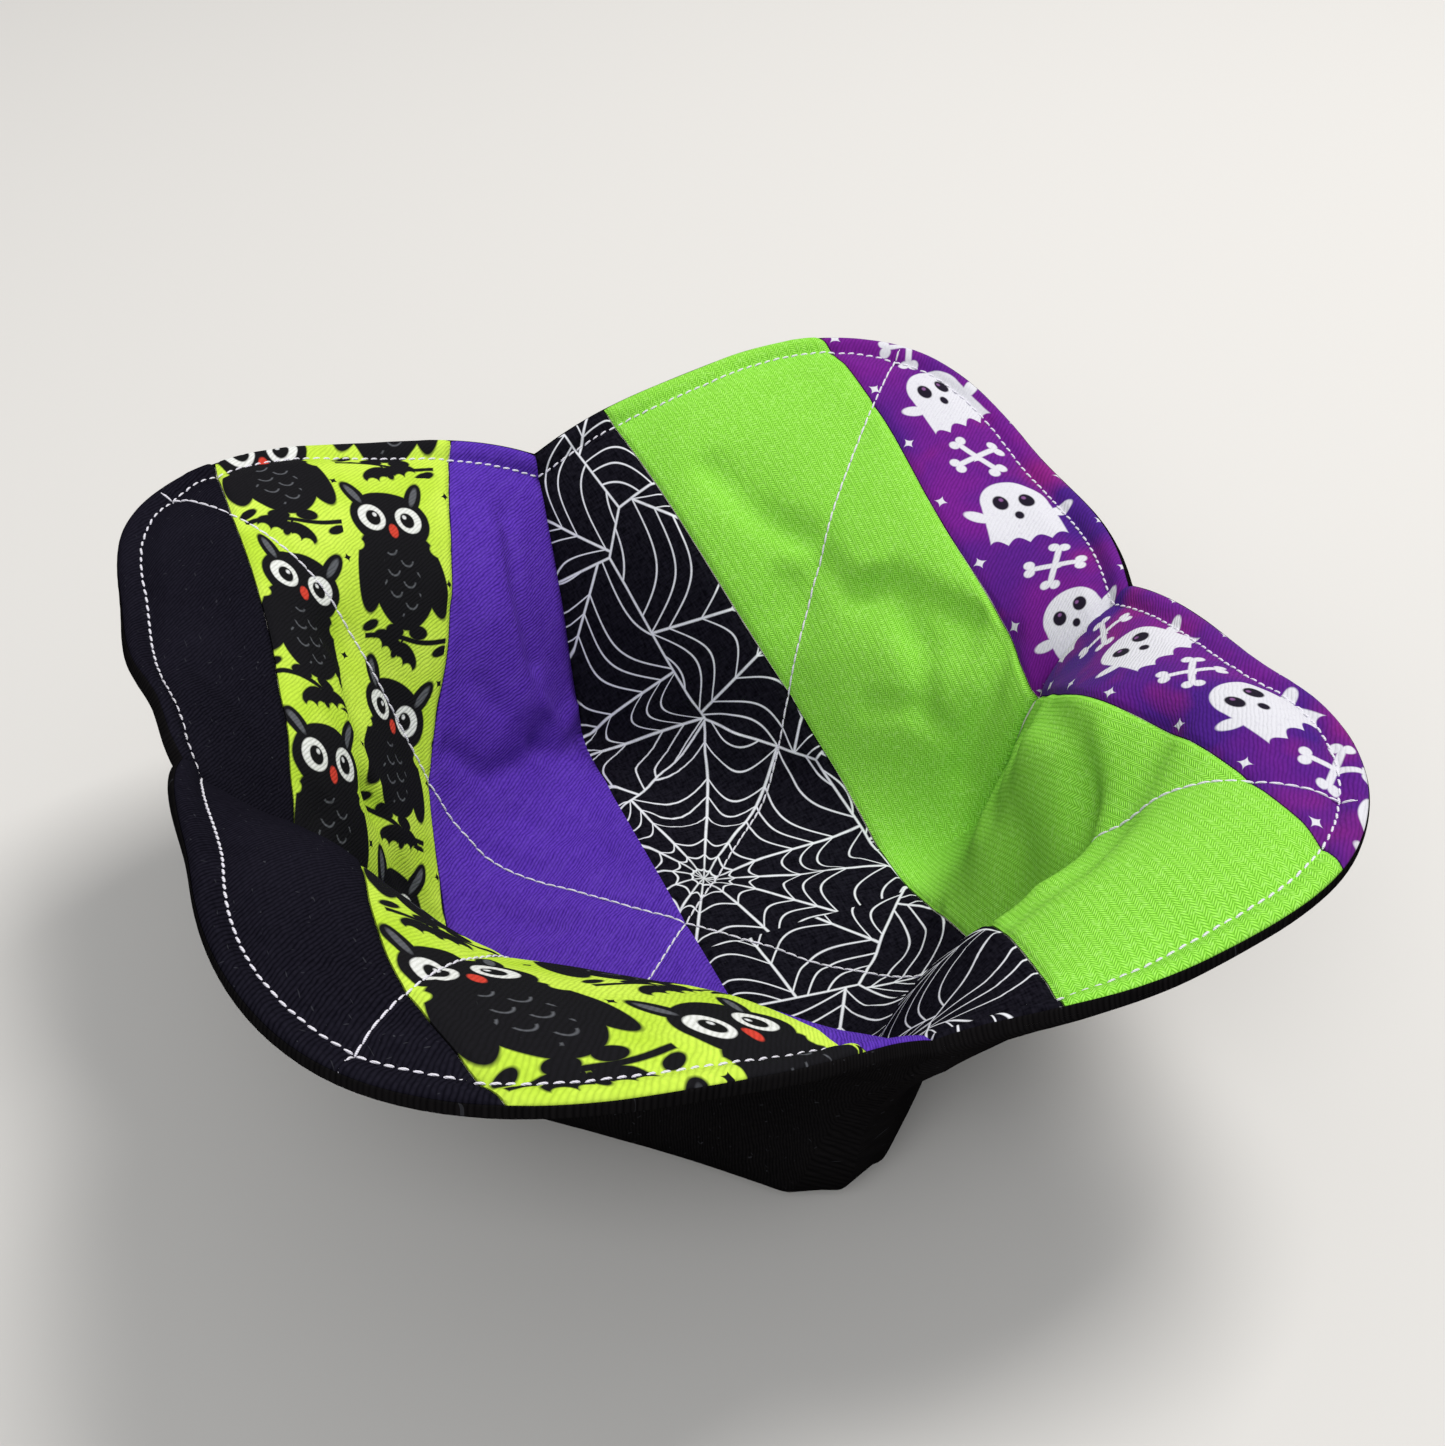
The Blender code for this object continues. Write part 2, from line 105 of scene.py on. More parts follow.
FRONT_RIGHT, BACK_RIGHT, BACK_LEFT, FRONT_LEFT = range(FLAPS)

# Soft folds: the flap, the fold's line on the flat cloth, how deep it sinks outwards, and its half width
FOLDS = (
    (FRONT_RIGHT, ((0.088, -0.020), (0.063, -0.042)), 0.0022, 0.007),
    (FRONT_RIGHT, ((0.094, -0.066), (0.076, -0.062)), 0.0018, 0.007),
    (BACK_RIGHT, ((0.062, 0.089), (0.061, 0.072), (0.058, 0.061)), 0.0018, 0.008),
    (BACK_RIGHT, ((0.073, 0.052), (0.079, 0.039), (0.085, 0.033)), 0.0022, 0.007),
    (BACK_LEFT, ((-0.033, 0.099), (-0.030, 0.082), (-0.022, 0.066)), -0.0022, 0.007),
    (BACK_LEFT, ((-0.074, 0.065), (-0.075, 0.047), (-0.068, 0.034)), 0.0026, 0.007),
    (BACK_LEFT, ((-0.121, 0.040), (-0.095, 0.036)), -0.0020, 0.012),
    (FRONT_LEFT, ((-0.080, -0.060), (-0.062, -0.074)), -0.0015, 0.009),
)
FOLD_FREE_TURN = 0.10

# Slight unevenness of the quilted cloth above the floor, in patches of two sizes: size, depth and seed
WAVES = ((0.030, 0.0008, 3.1), (0.012, 0.0003, 8.7))
WAVES_START = 0.010


def ease(share):
    """Goes from 0 to 1 with no corner at either end."""
    share = np.clip(share, 0.0, 1.0)
    return share * share * (3 - 2 * share)


def along_flap(values, turn):
    """A smooth curve (Catmull-Rom) through evenly spaced values, from one dart at turn 0 to the next at 1."""
    values = list(values)
    values = [2 * values[0] - values[1]] + values + [2 * values[-1] - values[-2]]
    position = min(turn * STATIONS_PER_FLAP, STATIONS_PER_FLAP - 1e-9)
    first = int(position)
    part = position - first
    a, b, c, d = values[first : first + 4]
    linear = (c - a) * part
    square = (2 * a - 5 * b + 4 * c - d) * part**2
    cube = (3 * b - a - 3 * c + d) * part**3
    return 0.5 * (2 * b + linear + square + cube)


def station_values(flap, column):
    """One column of STATIONS, at the five stations of a flap."""
    first = flap * STATIONS_PER_FLAP
    return [STATIONS[(first + step) % len(STATIONS)][column] for step in range(STATIONS_PER_FLAP + 1)]


def to_flat(flap, along_first, along_second):
    """Flat x and y of a place that is given along the flap's two dart directions."""
    first = np.array(DART_DIRECTIONS[flap], float)
    second = np.array(DART_DIRECTIONS[(flap + 1) % FLAPS], float)
    return along_first * first + along_second * second


STRAIGHT_EDGE = HALF_SIDE - CORNER_RADIUS - DART_HALF_WIDTH
CORNER_ARC = CORNER_RADIUS * math.pi / 2
FLAP_EDGE = 2 * STRAIGHT_EDGE + CORNER_ARC


def edge_point(flap, turn):
    """Where a ray meets the sewn edge, and the edge's outward direction there, both on the flat cloth."""
    walked = turn * FLAP_EDGE
    if walked <= STRAIGHT_EDGE:
        place, outward = (HALF_SIDE, DART_HALF_WIDTH + walked), (1, 0)
    elif walked >= STRAIGHT_EDGE + CORNER_ARC:
        place, outward = (DART_HALF_WIDTH + FLAP_EDGE - walked, HALF_SIDE), (0, 1)
    else:
        angle = (walked - STRAIGHT_EDGE) / CORNER_RADIUS
        outward = (math.cos(angle), math.sin(angle))
        middle = HALF_SIDE - CORNER_RADIUS
        place = (middle + CORNER_RADIUS * outward[0], middle + CORNER_RADIUS * outward[1])
    return to_flat(flap, *place), to_flat(flap, *outward)


def ray(flap, turn, floor_rows, knee_rows, wall_rows, rim_insets):
    """One line from the cloth's middle to its edge: flat places, real places and insets of its rows."""
    fold = to_flat(flap, TIP_REACH * (1 - turn), TIP_REACH * turn)
    edge, outward = edge_point(flap, turn)
    inner = float(np.linalg.norm(fold))
    wall = float(np.linalg.norm(edge - fold))
    slant = float(np.dot(edge - fold, outward)) / wall

    last = inner + wall - PINCH_END / slant
    rows = np.concatenate([
        np.linspace(0, inner - KNEE_WIDTH, floor_rows, endpoint=False),
        np.linspace(inner - KNEE_WIDTH, inner + KNEE_WIDTH, knee_rows, endpoint=False),
        np.linspace(inner + KNEE_WIDTH, last, wall_rows, endpoint=False),
        inner + wall - np.array(rim_insets) / slant,
    ])

    foot, belly, lip, swing = (along_flap(station_values(flap, column), turn) for column in (1, 2, 3, 4))
    walked = np.linspace(0, inner + wall, int((inner + wall) / WALK_STEP) + 1)
    past_fold = walked - inner
    share = np.clip(past_fold / wall, 0, 1)
    slope = foot * ease((past_fold + KNEE_WIDTH) / (2 * KNEE_WIDTH))
    slope = slope + (lip - foot) * ease(share) + belly * np.sin(math.pi * share) ** 2
    slope = np.radians(slope)
    first_dart = math.atan2(DART_DIRECTIONS[flap][1], DART_DIRECTIONS[flap][0])
    floor_heading = math.atan2(fold[1], fold[0])
    wall_heading = first_dart + math.radians(90 * turn + swing)
    heading = np.where(past_fold < 0, floor_heading, wall_heading)

    direction = np.stack([np.cos(slope) * np.cos(heading), np.cos(slope) * np.sin(heading), np.sin(slope)], 1)
    steps = 0.5 * (direction[1:] + direction[:-1]) * np.diff(walked)[:, None]
    path = np.vstack([[0, 0, 0], np.cumsum(steps, 0)]) + [0, 0, FLOOR_HEIGHT]
    places = np.stack([np.interp(rows, walked, path[:, axis]) for axis in range(3)], 1)

    to_fold = np.clip(rows / inner, 0, 1)[:, None]
    past = np.clip((rows - inner) / wall, 0, 1)[:, None]
    return fold * to_fold + (edge - fold) * past, places, (inner + wall - rows) * slant


def facing(places, level_rows):
    """Unit normals of a grid of places on the inner side. The floor is level as far as the knee."""
    across = np.gradient(places, axis=0)
    outwards = np.gradient(places, axis=1)
    normals = np.cross(outwards, across)
    normals[:, :level_rows] = (0, 0, 1)
    return normals / np.linalg.norm(normals, axis=2, keepdims=True)


def join_at_darts(grids, unit=False):
    """Gives the two edges of each dart the same values, so that the flaps close where they are sewn."""
    for flap in range(FLAPS):
        after = (flap + 1) % FLAPS
        shared = 0.5 * (grids[flap][-1] + grids[after][0])
        if unit:
            shared /= np.linalg.norm(shared, axis=1, keepdims=True)
        grids[flap][-1] = shared
        grids[after][0] = shared
    return grids


def distance_to_line(flat, line):
    """The distance of flat places from a line of two or more points."""
    nearest = np.full(flat.shape[:-1], np.inf)
    for start, end in zip(line, line[1:]):
        start, run = np.array(start), np.subtract(end, start)
        share = np.clip((flat - start) @ run / (run @ run), 0, 1)
        nearest = np.minimum(nearest, np.linalg.norm(flat - start - share[..., None] * run, axis=-1))
    return nearest


def bump_line(distance, half_width):
    """A soft rounded profile across a line: 1 on it, and 0 a little over twice its half width away."""
    return np.exp(-((distance / half_width) ** 2))


def patches(places, size, seed):
    """Smooth chance values from about -1 to 1, in patches of a size, the same at the same place."""
    flat_list = places.reshape(-1, 3) / size + seed
    values = [noise.noise(Vector(place)) for place in flat_list]
    return np.array(values).reshape(places.shape[:-1])


def lay_cloth(rays, floor_rows, knee_rows, wall_rows, rim_insets):
    """The lining's inner face over the whole cozy, as one grid of rays and rows for each flap."""
    turns = np.linspace(0, 1, rays + 1)
    flat, places, insets = [], [], []
    for flap in range(FLAPS):
        rows = [ray(flap, turn, floor_rows, knee_rows, wall_rows, rim_insets) for turn in turns]
        flat.append(np.array([one[0] for one in rows]))
        places.append(np.array([one[1] for one in rows]))
        insets.append(np.array([one[2] for one in rows]))
    join_at_darts(places)
    normals = join_at_darts([facing(one, floor_rows) for one in places], unit=True)
    free = ease(np.minimum(turns, 1 - turns) / FOLD_FREE_TURN)[:, None]
    for flap in range(FLAPS):
        sunk = np.zeros(insets[flap].shape)
        for fold_flap, line, depth, half_width in FOLDS:
            if fold_flap == flap:
                sunk += depth * free * bump_line(distance_to_line(flat[flap], line), half_width)
        above_floor = places[flap][..., 2] - FLOOR_HEIGHT
        loose = ease(insets[flap] / PINCH_END) * ease(above_floor / WAVES_START)
        for size, depth, seed in WAVES:
            sunk += depth * loose * patches(places[flap], size, seed)
        places[flap] = places[flap] - normals[flap] * sunk[..., None]
    join_at_darts(places)
    normals = join_at_darts([facing(one, floor_rows) for one in places], unit=True)
    names = ("flap", "flat", "place", "normal", "inset")
    return [dict(zip(names, values)) for values in zip(range(FLAPS), flat, places, normals, insets)]


def half_thickness(inset):
    """Half the thickness of the whole sandwich at a distance in from the sewn edge."""
    bulge = np.sqrt(1 - (1 - np.clip(inset / ROLL_WIDTH, 0, 1)) ** 2)
    roll = EDGE_HALF_THICKNESS + (ROLL_HALF_THICKNESS - EDGE_HALF_THICKNESS) * bulge
    sink = ease((inset - ROLL_WIDTH) / (STITCH_INSET - ROLL_WIDTH))
    groove = ROLL_HALF_THICKNESS + (STITCH_HALF_THICKNESS - ROLL_HALF_THICKNESS) * sink
    rise = ease((inset - STITCH_INSET) / (PINCH_END - STITCH_INSET))
    body = STITCH_HALF_THICKNESS + (HALF_SANDWICH - STITCH_HALF_THICKNESS) * rise
    return np.where(inset < ROLL_WIDTH, roll, np.where(inset < STITCH_INSET, groove, body))


def middle_depth(inset):
    """How far the sandwich's middle lies under the lining's full face. The thin edge lies a little higher."""
    return HALF_SANDWICH - EDGE_LIFT * (1 - ease(inset / PINCH_END))


def puff_at(flat, place, normal):
    """How far the shell stands out along the fold between floor and flaps, where the wadding puffs up. It
    goes no lower than what the cozy stands on."""
    away = np.abs(np.abs(flat[:, 0]) + np.abs(flat[:, 1]) - TIP_REACH) / math.sqrt(2)
    height = np.maximum(place[:, 2] - normal[:, 2] * 2 * HALF_SANDWICH, 0)
    room = height / np.maximum(normal[:, 2], STEEPEST_NORMAL)
    return np.minimum(PUFF_DEPTH * bump_line(away, PUFF_WIDTH), room)


def layer_depths(layer, inset, relief, puff):
    """How far a layer's two faces lie from the sandwich's middle, inwards positive. The relief sinks the
    lining's or the shell's outside, and the batting behind it gives way. At the edge the layers meet."""
    middle = LAYER_GAP / 2
    half = half_thickness(inset) - relief
    inside = inset > AT_EDGE
    cloth_back = np.where(inside, np.maximum(half - CLOTH, middle), middle)
    batting_face = np.maximum(cloth_back - LAYER_GAP, middle + THINNEST)
    if layer == "lining":
        return half, cloth_back
    if layer == "lining batting":
        return batting_face, np.full_like(inset, middle)
    if layer == "shell batting":
        return np.full_like(inset, -middle), -batting_face - puff
    if layer == "shell over the edge":
        proud = ROLL_PROUD * ease((ROLL_REACH - inset) / ROLL_PROUD)
        return half + proud, np.where(inside, cloth_back, 0.0)
    slim = SHELL_EDGE_SHARE + (1 - SHELL_EDGE_SHARE) * ease(inset / STITCH_INSET)
    return np.where(inside, -cloth_back * slim, 0.0) - puff, -half * slim - puff


# The relief along each kind of line: its depth, what the pull adds in each needle hole, its half width, and
# how far from the sewn edge it fades in
STITCH_LENGTH = 0.0021
EDGE_GROOVE, EDGE_PULL, EDGE_GROOVE_WIDTH = 0.00030, 0.00022, 0.0009
EDGE_PUCKER, EDGE_PUCKER_WIDTH, EDGE_PUCKER_START = 0.00024, 0.0028, 0.0015
EDGE_PUCKER_SIZE, EDGE_PUCKER_SEED = 0.0024, 21.3
SHELL_SEAM, SHELL_SEAM_WIDTH, SHELL_SEAM_START = 0.00120, 0.0014, 0.0020
SHELL_LUMPS, SHELL_LUMP_SIZE, SHELL_LUMP_SEED = 0.00010, 0.008, 5.2


def stitch_pull(run, length):
    """How hard the stitches pull along their run: 1 in each needle hole and 0 half-way between."""
    return 0.5 + 0.5 * np.cos(2 * math.pi * run / length)


def edge_relief(place, inset, around):
    """How far the topstitching sinks a face, with its puckers."""
    from_stitches = inset - STITCH_INSET
    groove = EDGE_GROOVE + EDGE_PULL * stitch_pull(around, STITCH_LENGTH)
    uneven = patches(place, EDGE_PUCKER_SIZE, EDGE_PUCKER_SEED)
    pucker = bump_line(from_stitches, EDGE_PUCKER_WIDTH) * uneven * EDGE_PUCKER
    return bump_line(from_stitches, EDGE_GROOVE_WIDTH) * groove + pucker * ease(inset / EDGE_PUCKER_START)


def distance_to_darts(flat):
    """The distance of flat places from the nearest dart seam."""
    nearest = np.full(flat.shape[:-1], np.inf)
    for direction in DART_DIRECTIONS:
        for side in (-1, 1):
            tip = np.array(direction) * TIP_REACH
            end = np.array(direction) * HALF_SIDE + np.array(direction[::-1]) * DART_HALF_WIDTH * side
            nearest = np.minimum(nearest, distance_to_line(flat, (tip, end)))
    return nearest


def shell_relief(flat, place, inset, around):
    """How far stitches and dart seams sink the shell's outer face, by place."""
    seam = SHELL_SEAM * bump_line(distance_to_darts(flat), SHELL_SEAM_WIDTH) * ease(inset / SHELL_SEAM_START)
    lumps = SHELL_LUMPS * patches(place, SHELL_LUMP_SIZE, SHELL_LUMP_SEED)
    return edge_relief(place, inset, around) + seam + lumps


RIM_FINE = (
    0.0100, 0.0092, 0.0084, 0.0077, 0.0070, 0.0064, 0.0059, 0.0055, 0.0051, STITCH_INSET, 0.0045, 0.0041,
    0.0037, 0.0033, 0.0029, 0.0025, 0.0021, 0.0017, 0.0014, 0.0011, 0.0008, 0.0006, LINING_END,
    ROLL_REACH, 0.0002, 0.0001, 0.00004, 0.0,
)
BATTING_EDGE = 0.00105
WELD = 2e-6
TRIM_MARGIN = 0.004
TRIM_WELD = 1e-7
SHARP_ANGLE = 60


def add_object(name, data):
    """Puts a mesh, a lamp or a camera into the scene as an object of its own."""
    made = bpy.data.objects.new(name, data)
    bpy.context.scene.collection.objects.link(made)
    return made


def around_edge(grid):
    """How far round the cozy each place of a flap lies, measured along its topstitching."""
    rays, rows = grid["inset"].shape
    flap_run = FLAP_EDGE - STITCH_INSET * math.pi / 2
    turns = np.linspace(0, 1, rays)[:, None]
    return np.broadcast_to((grid["flap"] + turns) * flap_run, (rays, rows))


def sew_layer(name, cloth, layer, relief_of, flaps=range(FLAPS), from_x=None, to_x=None, cuts=()):
    """Makes one layer, or one strip of it: lays the flaps flat, trims them to the strip, works the relief of
    seams and stitches into them, takes them to their real places, joins them at the darts, and closes the
    two faces with walls."""
    bm = bmesh.new()
    vectors = {key: bm.verts.layers.float_vector.new(key) for key in ("place", "normal", "edge")}
    uv = bm.loops.layers.uv.new("cloth")
    for flap in flaps:
        grid = cloth[flap]
        around = around_edge(grid)
        rays, rows = grid["inset"].shape
        first_row = 0
        if layer.endswith("batting"):
            rows = int(np.argmax(grid["inset"][0] < BATTING_EDGE))
        elif layer == "lining":
            rows = int(np.argmax(grid["inset"][0] < LINING_END + WELD)) + 1
        elif layer == "shell over the edge":
            first_row = int(np.argmax(grid["inset"][0] < ROLL_REACH + WELD))
        verts = {}

        def vertex(column, row):
            key = (column, row) if row else (0, 0)
            if key not in verts:
                verts[key] = bm.verts.new((*grid["flat"][key], 0))
                verts[key][vectors["place"]] = grid["place"][key]
                verts[key][vectors["normal"]] = grid["normal"][key]
                verts[key][vectors["edge"]] = (grid["inset"][key], around[key], 0)
            return verts[key]

        across = grid["flat"][..., 0]
        for column in range(rays - 1):
            for row in range(first_row, rows - 1):
                reach = across[column : column + 2, row : row + 2]
                if from_x is not None and reach.max() < from_x - TRIM_MARGIN:
                    continue
                if to_x is not None and reach.min() > to_x + TRIM_MARGIN:
                    continue
                corners = [vertex(column, row), vertex(column, row + 1), vertex(column + 1, row + 1)]
                if row:
                    corners.append(vertex(column + 1, row))
                bm.faces.new(corners)
    trims = [(from_x, True, False), (to_x, False, True)] + [(cut, False, False) for cut in cuts]
    for cut, clear_inner, clear_outer in trims:
        if cut is not None:
            geometry = bm.verts[:] + bm.edges[:] + bm.faces[:]
            bmesh.ops.bisect_plane(
                bm, geom=geometry, dist=TRIM_WELD, plane_co=(cut, 0, 0), plane_no=(1, 0, 0),
                clear_inner=clear_inner, clear_outer=clear_outer,
            )
    for face in bm.faces:
        for loop in face.loops:
            loop[uv].uv = loop.vert.co.xy

    flat = np.array([vert.co.xy for vert in bm.verts])
    place, normal, edge = (np.array([vert[vectors[key]] for vert in bm.verts]) for key in vectors)
    normal /= np.linalg.norm(normal, axis=1, keepdims=True)
    relief = relief_of(flat, place, edge[:, 0], edge[:, 1])
    near, far = layer_depths(layer, edge[:, 0], relief, puff_at(flat, place, normal))
    middle = place - normal * middle_depth(edge[:, 0])[:, None]
    inner = middle + normal * near[:, None]
    outer = middle + normal * far[:, None]
    behind_layer = bm.verts.layers.float_vector.new("behind")
    for vert, front, back in zip(bm.verts, inner, outer):
        vert.co = front
        vert[behind_layer] = back
    bmesh.ops.remove_doubles(bm, verts=bm.verts[:], dist=WELD)

    front_faces = list(bm.faces)
    open_edges = [edge for edge in bm.edges if edge.is_boundary]
    behind = {vert: bm.verts.new(vert[behind_layer]) for vert in list(bm.verts)}
    for face in front_faces:
        back = bm.faces.new([behind[vert] for vert in reversed(face.verts)])
        for loop, source in zip(back.loops, reversed(face.loops)):
            loop[uv].uv = source[uv].uv
    for border in open_edges:
        loop = border.link_loops[0]
        start, end = loop.vert, loop.link_loop_next.vert
        wall = bm.faces.new((end, start, behind[start], behind[end]))
        for side, source in zip(wall.loops, (loop.link_loop_next, loop, loop, loop.link_loop_next)):
            side[uv].uv = source[uv].uv
    bmesh.ops.recalc_face_normals(bm, faces=bm.faces[:])

    mesh = bpy.data.meshes.new(name)
    bm.to_mesh(mesh)
    bm.free()
    for key in ("place", "normal", "edge", "behind"):
        mesh.attributes.remove(mesh.attributes[key])
    mesh.shade_smooth()
    mesh.set_sharp_from_angle(angle=math.radians(SHARP_ANGLE))
    return add_object(name, mesh)


def sum_of(operation, swapped=False):
    """A method that puts two values through one math node."""
    def method(self, other):
        return self.math(operation, other, self) if swapped else self.math(operation, self, other)
    return method


def change_of(operation):
    """A method that puts one value through one math node."""
    def method(self):
        return self.math(operation, self)
    return method


class Wire:
    """One output socket in a finish, wrapped so that shader maths is written as Python expressions."""

    def __init__(self, tree, socket=None):
        self.tree = tree
        self.socket = socket

    def add(self, kind, settings=(), sockets=(), output=0):
        """Adds a node: its settings first, then the values or links of its sockets."""
        node = self.tree.nodes.new(kind)
        for name, value in dict(settings).items():
            setattr(node, name, value)
        for name, value in dict(sockets).items():
            if isinstance(value, Wire):
                self.tree.links.new(value.socket, node.inputs[name])
            else:
                node.inputs[name].default_value = value
        return Wire(self.tree, node.outputs[output])

    def math(self, operation, *values):
        return self.add("ShaderNodeMath", {"operation": operation}, dict(enumerate(values)))

    __add__ = __radd__ = sum_of("ADD")
    __sub__ = sum_of("SUBTRACT")
    __rsub__ = sum_of("SUBTRACT", swapped=True)
    __mul__ = __rmul__ = sum_of("MULTIPLY")
    __truediv__ = sum_of("DIVIDE")
    __pow__ = sum_of("POWER")
    low = sum_of("MINIMUM")
    high = sum_of("MAXIMUM")
    over = sum_of("GREATER_THAN")
    wrap = sum_of("FLOORED_MODULO")
    __abs__ = change_of("ABSOLUTE")
    floor = change_of("FLOOR")
    sin = change_of("SINE")
    cos = change_of("COSINE")

    def __neg__(self):
        return self * -1

    def clamp(self):
        return self.high(0).low(1)

    def between(self, start, end):
        """Goes from 0 to 1 as the value goes from start to end."""
        return ((self - start) / (end - start)).clamp()

    def point(self, y, z=0.0):
        """The place that has this value as its x."""
        return self.add("ShaderNodeCombineXYZ", (), {"X": self, "Y": y, "Z": z})

    def axis(self, name):
        """One of a place's three values."""
        return self.add("ShaderNodeSeparateXYZ", (), {0: self}, name)

    def chance(self):
        """A value from 0 to 1 by chance, the same at the same place."""
        return self.add("ShaderNodeTexWhiteNoise", {"noise_dimensions": "3D"}, {"Vector": self})


MIX_FIRST, MIX_SECOND, MIX_COLOUR = 6, 7, 2


def tint(factor, first, second, blend="MIX"):
    """One colour where the factor is 0 and another where it is 1."""
    colours = [(*colour, 1) if isinstance(colour, tuple) else colour for colour in (first, second)]
    sockets = {0: factor, MIX_FIRST: colours[0], MIX_SECOND: colours[1]}
    return factor.add("ShaderNodeMix", {"data_type": "RGBA", "blend_type": blend}, sockets, MIX_COLOUR)


def grain(u, v, size, detail=2.0, seed=0.0):
    """Chance values around 0.5 over the flat cloth, in patches of a size in millimetres."""
    sockets = {"Vector": u.point(v, seed), "Scale": 1 / size, "Detail": detail}
    return u.add("ShaderNodeTexNoise", {"noise_dimensions": "3D"}, sockets)


def new_material(name, values):
    """A new material and its shader, with some of its sockets set."""
    material = bpy.data.materials.new(name)
    material.use_nodes = True
    shader = material.node_tree.nodes["Principled BSDF"]
    for socket, value in values.items():
        shader.inputs[socket].default_value = value
    return material, shader


def start_finish(name, roughness, sheen=0.0, specular=0.12):
    """A new cloth finish: its material, its shader, and the flat cloth's two axes in millimetres."""
    material, shader = new_material(name, {
        "Roughness": roughness,
        "Sheen Weight": sheen,
        "Sheen Roughness": 0.45,
        "Specular IOR Level": specular,
    })
    place = Wire(material.node_tree).add("ShaderNodeUVMap", {"uv_map": "cloth"})
    return material, shader, place.axis("X") * 1000, place.axis("Y") * 1000


TWILL_RIB = 0.70


def twill(u, v, rib=TWILL_RIB):
    """The height of a twill weave from 0 to 1: slanted ribs of thread that pinch where the threads cross."""
    across = (u - v) / math.sqrt(2)
    along = (u + v) / math.sqrt(2)
    wander = (grain(u, v, 3.0, 1.0, 4.0) - 0.5) * 1.4
    turns = across / rib + wander
    ridge = abs((turns * math.pi).sin())
    broken = grain(across, along / 2.6, 0.8 * rib, 1.0, 27.0).between(0.30, 0.70)
    pinch = abs(((along / (1.9 * rib) + turns.floor() * 0.37) * math.pi).sin())
    return ridge * (0.50 + 0.22 * pinch) + broken * 0.28


WEAVE_DEPTH = 0.00016


def end_finish(shader, colour, height, depth=WEAVE_DEPTH, strength=0.8):
    """Puts the colour and the weave's height into a cloth's shader."""
    bump = height.add("ShaderNodeBump", (), {"Strength": strength, "Distance": depth, "Height": height})
    tree = height.tree
    tree.links.new(colour.socket, shader.inputs["Base Color"])
    tree.links.new(bump.socket, shader.inputs["Normal"])


def lint_mask(u, v):
    """Small pale specks and short fibres that cling to dark cloth."""
    speck = grain(u, v, 0.8, 1.0, 31.0).between(0.78, 0.82)
    stretch = grain(u * 0.22 + v * 0.05, v, 0.32, 0.0, 9.0).between(0.82, 0.85)
    other = grain(u + v * 0.1, v * 0.20, 0.35, 0.0, 17.0).between(0.83, 0.86)
    return (speck * 0.5 + stretch * 0.35 + other * 0.30).clamp()


DYE_STRENGTH, DYE_GLOW = 0.25, 1.6
LINT = (0.060, 0.062, 0.072)


def black_twill(name, dark, light, depth):
    """Black cotton twill: the ribs show as paler lines, with a slightly uneven dye and a little lint."""
    material, shader, u, v = start_finish(name, roughness=0.90, specular=0.0)
    weave = twill(u, v, 0.60)
    dye = grain(u, v, 26.0, 3.0, 2.0)
    cloth = tint(weave.between(0.15, 0.95), dark, light)
    faded = tuple(channel * DYE_GLOW for channel in light)
    cloth = tint(dye.between(0.35, 0.75) * DYE_STRENGTH, cloth, faded)
    cloth = tint(lint_mask(u, v), cloth, LINT)
    end_finish(shader, cloth, weave, depth)
    return material


fine_cloth = lay_cloth(rays=112, floor_rows=20, knee_rows=16, wall_rows=34, rim_insets=RIM_FINE)
plain_cloth = lay_cloth(rays=84, floor_rows=12, knee_rows=24, wall_rows=28, rim_insets=RIM_FINE)

shell = sew_layer("shell_cloth", plain_cloth, "shell", shell_relief)
rolled = sew_layer("shell_over_the_edge", fine_cloth, "shell over the edge", shell_relief)
bpy.ops.object.select_all(action="DESELECT")
rolled.select_set(True)
shell.select_set(True)
bpy.context.view_layer.objects.active = shell
bpy.ops.object.join()
# Painted shade: the shell's black twill is darker than the lining's, standing in for the shadow on the
# shell's outside.
SHADED_SHELL_DARK, SHADED_SHELL_LIGHT = (0.0024, 0.0022, 0.0024), (0.0062, 0.0057, 0.0060)
shell.data.materials.append(black_twill("shell_twill", SHADED_SHELL_DARK, SHADED_SHELL_LIGHT, 0.00010))
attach(shell, "root")
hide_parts("outer_shell")


# The two battings: soft undyed cotton wadding, cut like the shell and quilted to the shell and to the lining.
# They are sealed inside and give the cozy its thickness. The lining's quilting, seams and creases sink one.
QUILT_STITCH_LENGTH = 0.0024
QUILT_GROOVE, QUILT_PULL, QUILT_GROOVE_WIDTH = 0.00035, 0.00025, 0.0010
QUILT_DIP, QUILT_DIP_WIDTH = 0.00045, 0.0050
QUILT_PUCKER, QUILT_PUCKER_WIDTH = 0.00025, 0.0045
QUILT_PUCKER_SIZE, QUILT_PUCKER_SEED = 0.0034, 47.7
INSIDE_START, INSIDE_RUN = 0.001, 0.004
DART_SEAM, DART_SEAM_WIDTH = 0.00060, 0.0010

# The patchwork's seams, from left to right, with their allowances pressed to the left
MIDDLE_SEAM = 0.0
PURPLE_WIDTH = 0.0445
LIME_WIDTH = 0.0490
WEB_WIDTH = 0.0450
GREEN_WIDTH = 0.0485
SEAMS = (-PURPLE_WIDTH - LIME_WIDTH, -PURPLE_WIDTH, MIDDLE_SEAM, WEB_WIDTH, WEB_WIDTH + GREEN_WIDTH)
STRIP_SEAM, STRIP_SEAM_WIDTH, STRIP_SEAM_START = 0.00050, 0.0008, 0.0008
ALLOWANCE_RISE, ALLOWANCE_START, ALLOWANCE_WIDTH, ALLOWANCE_END = 0.00022, 0.0012, 0.0055, 0.0020

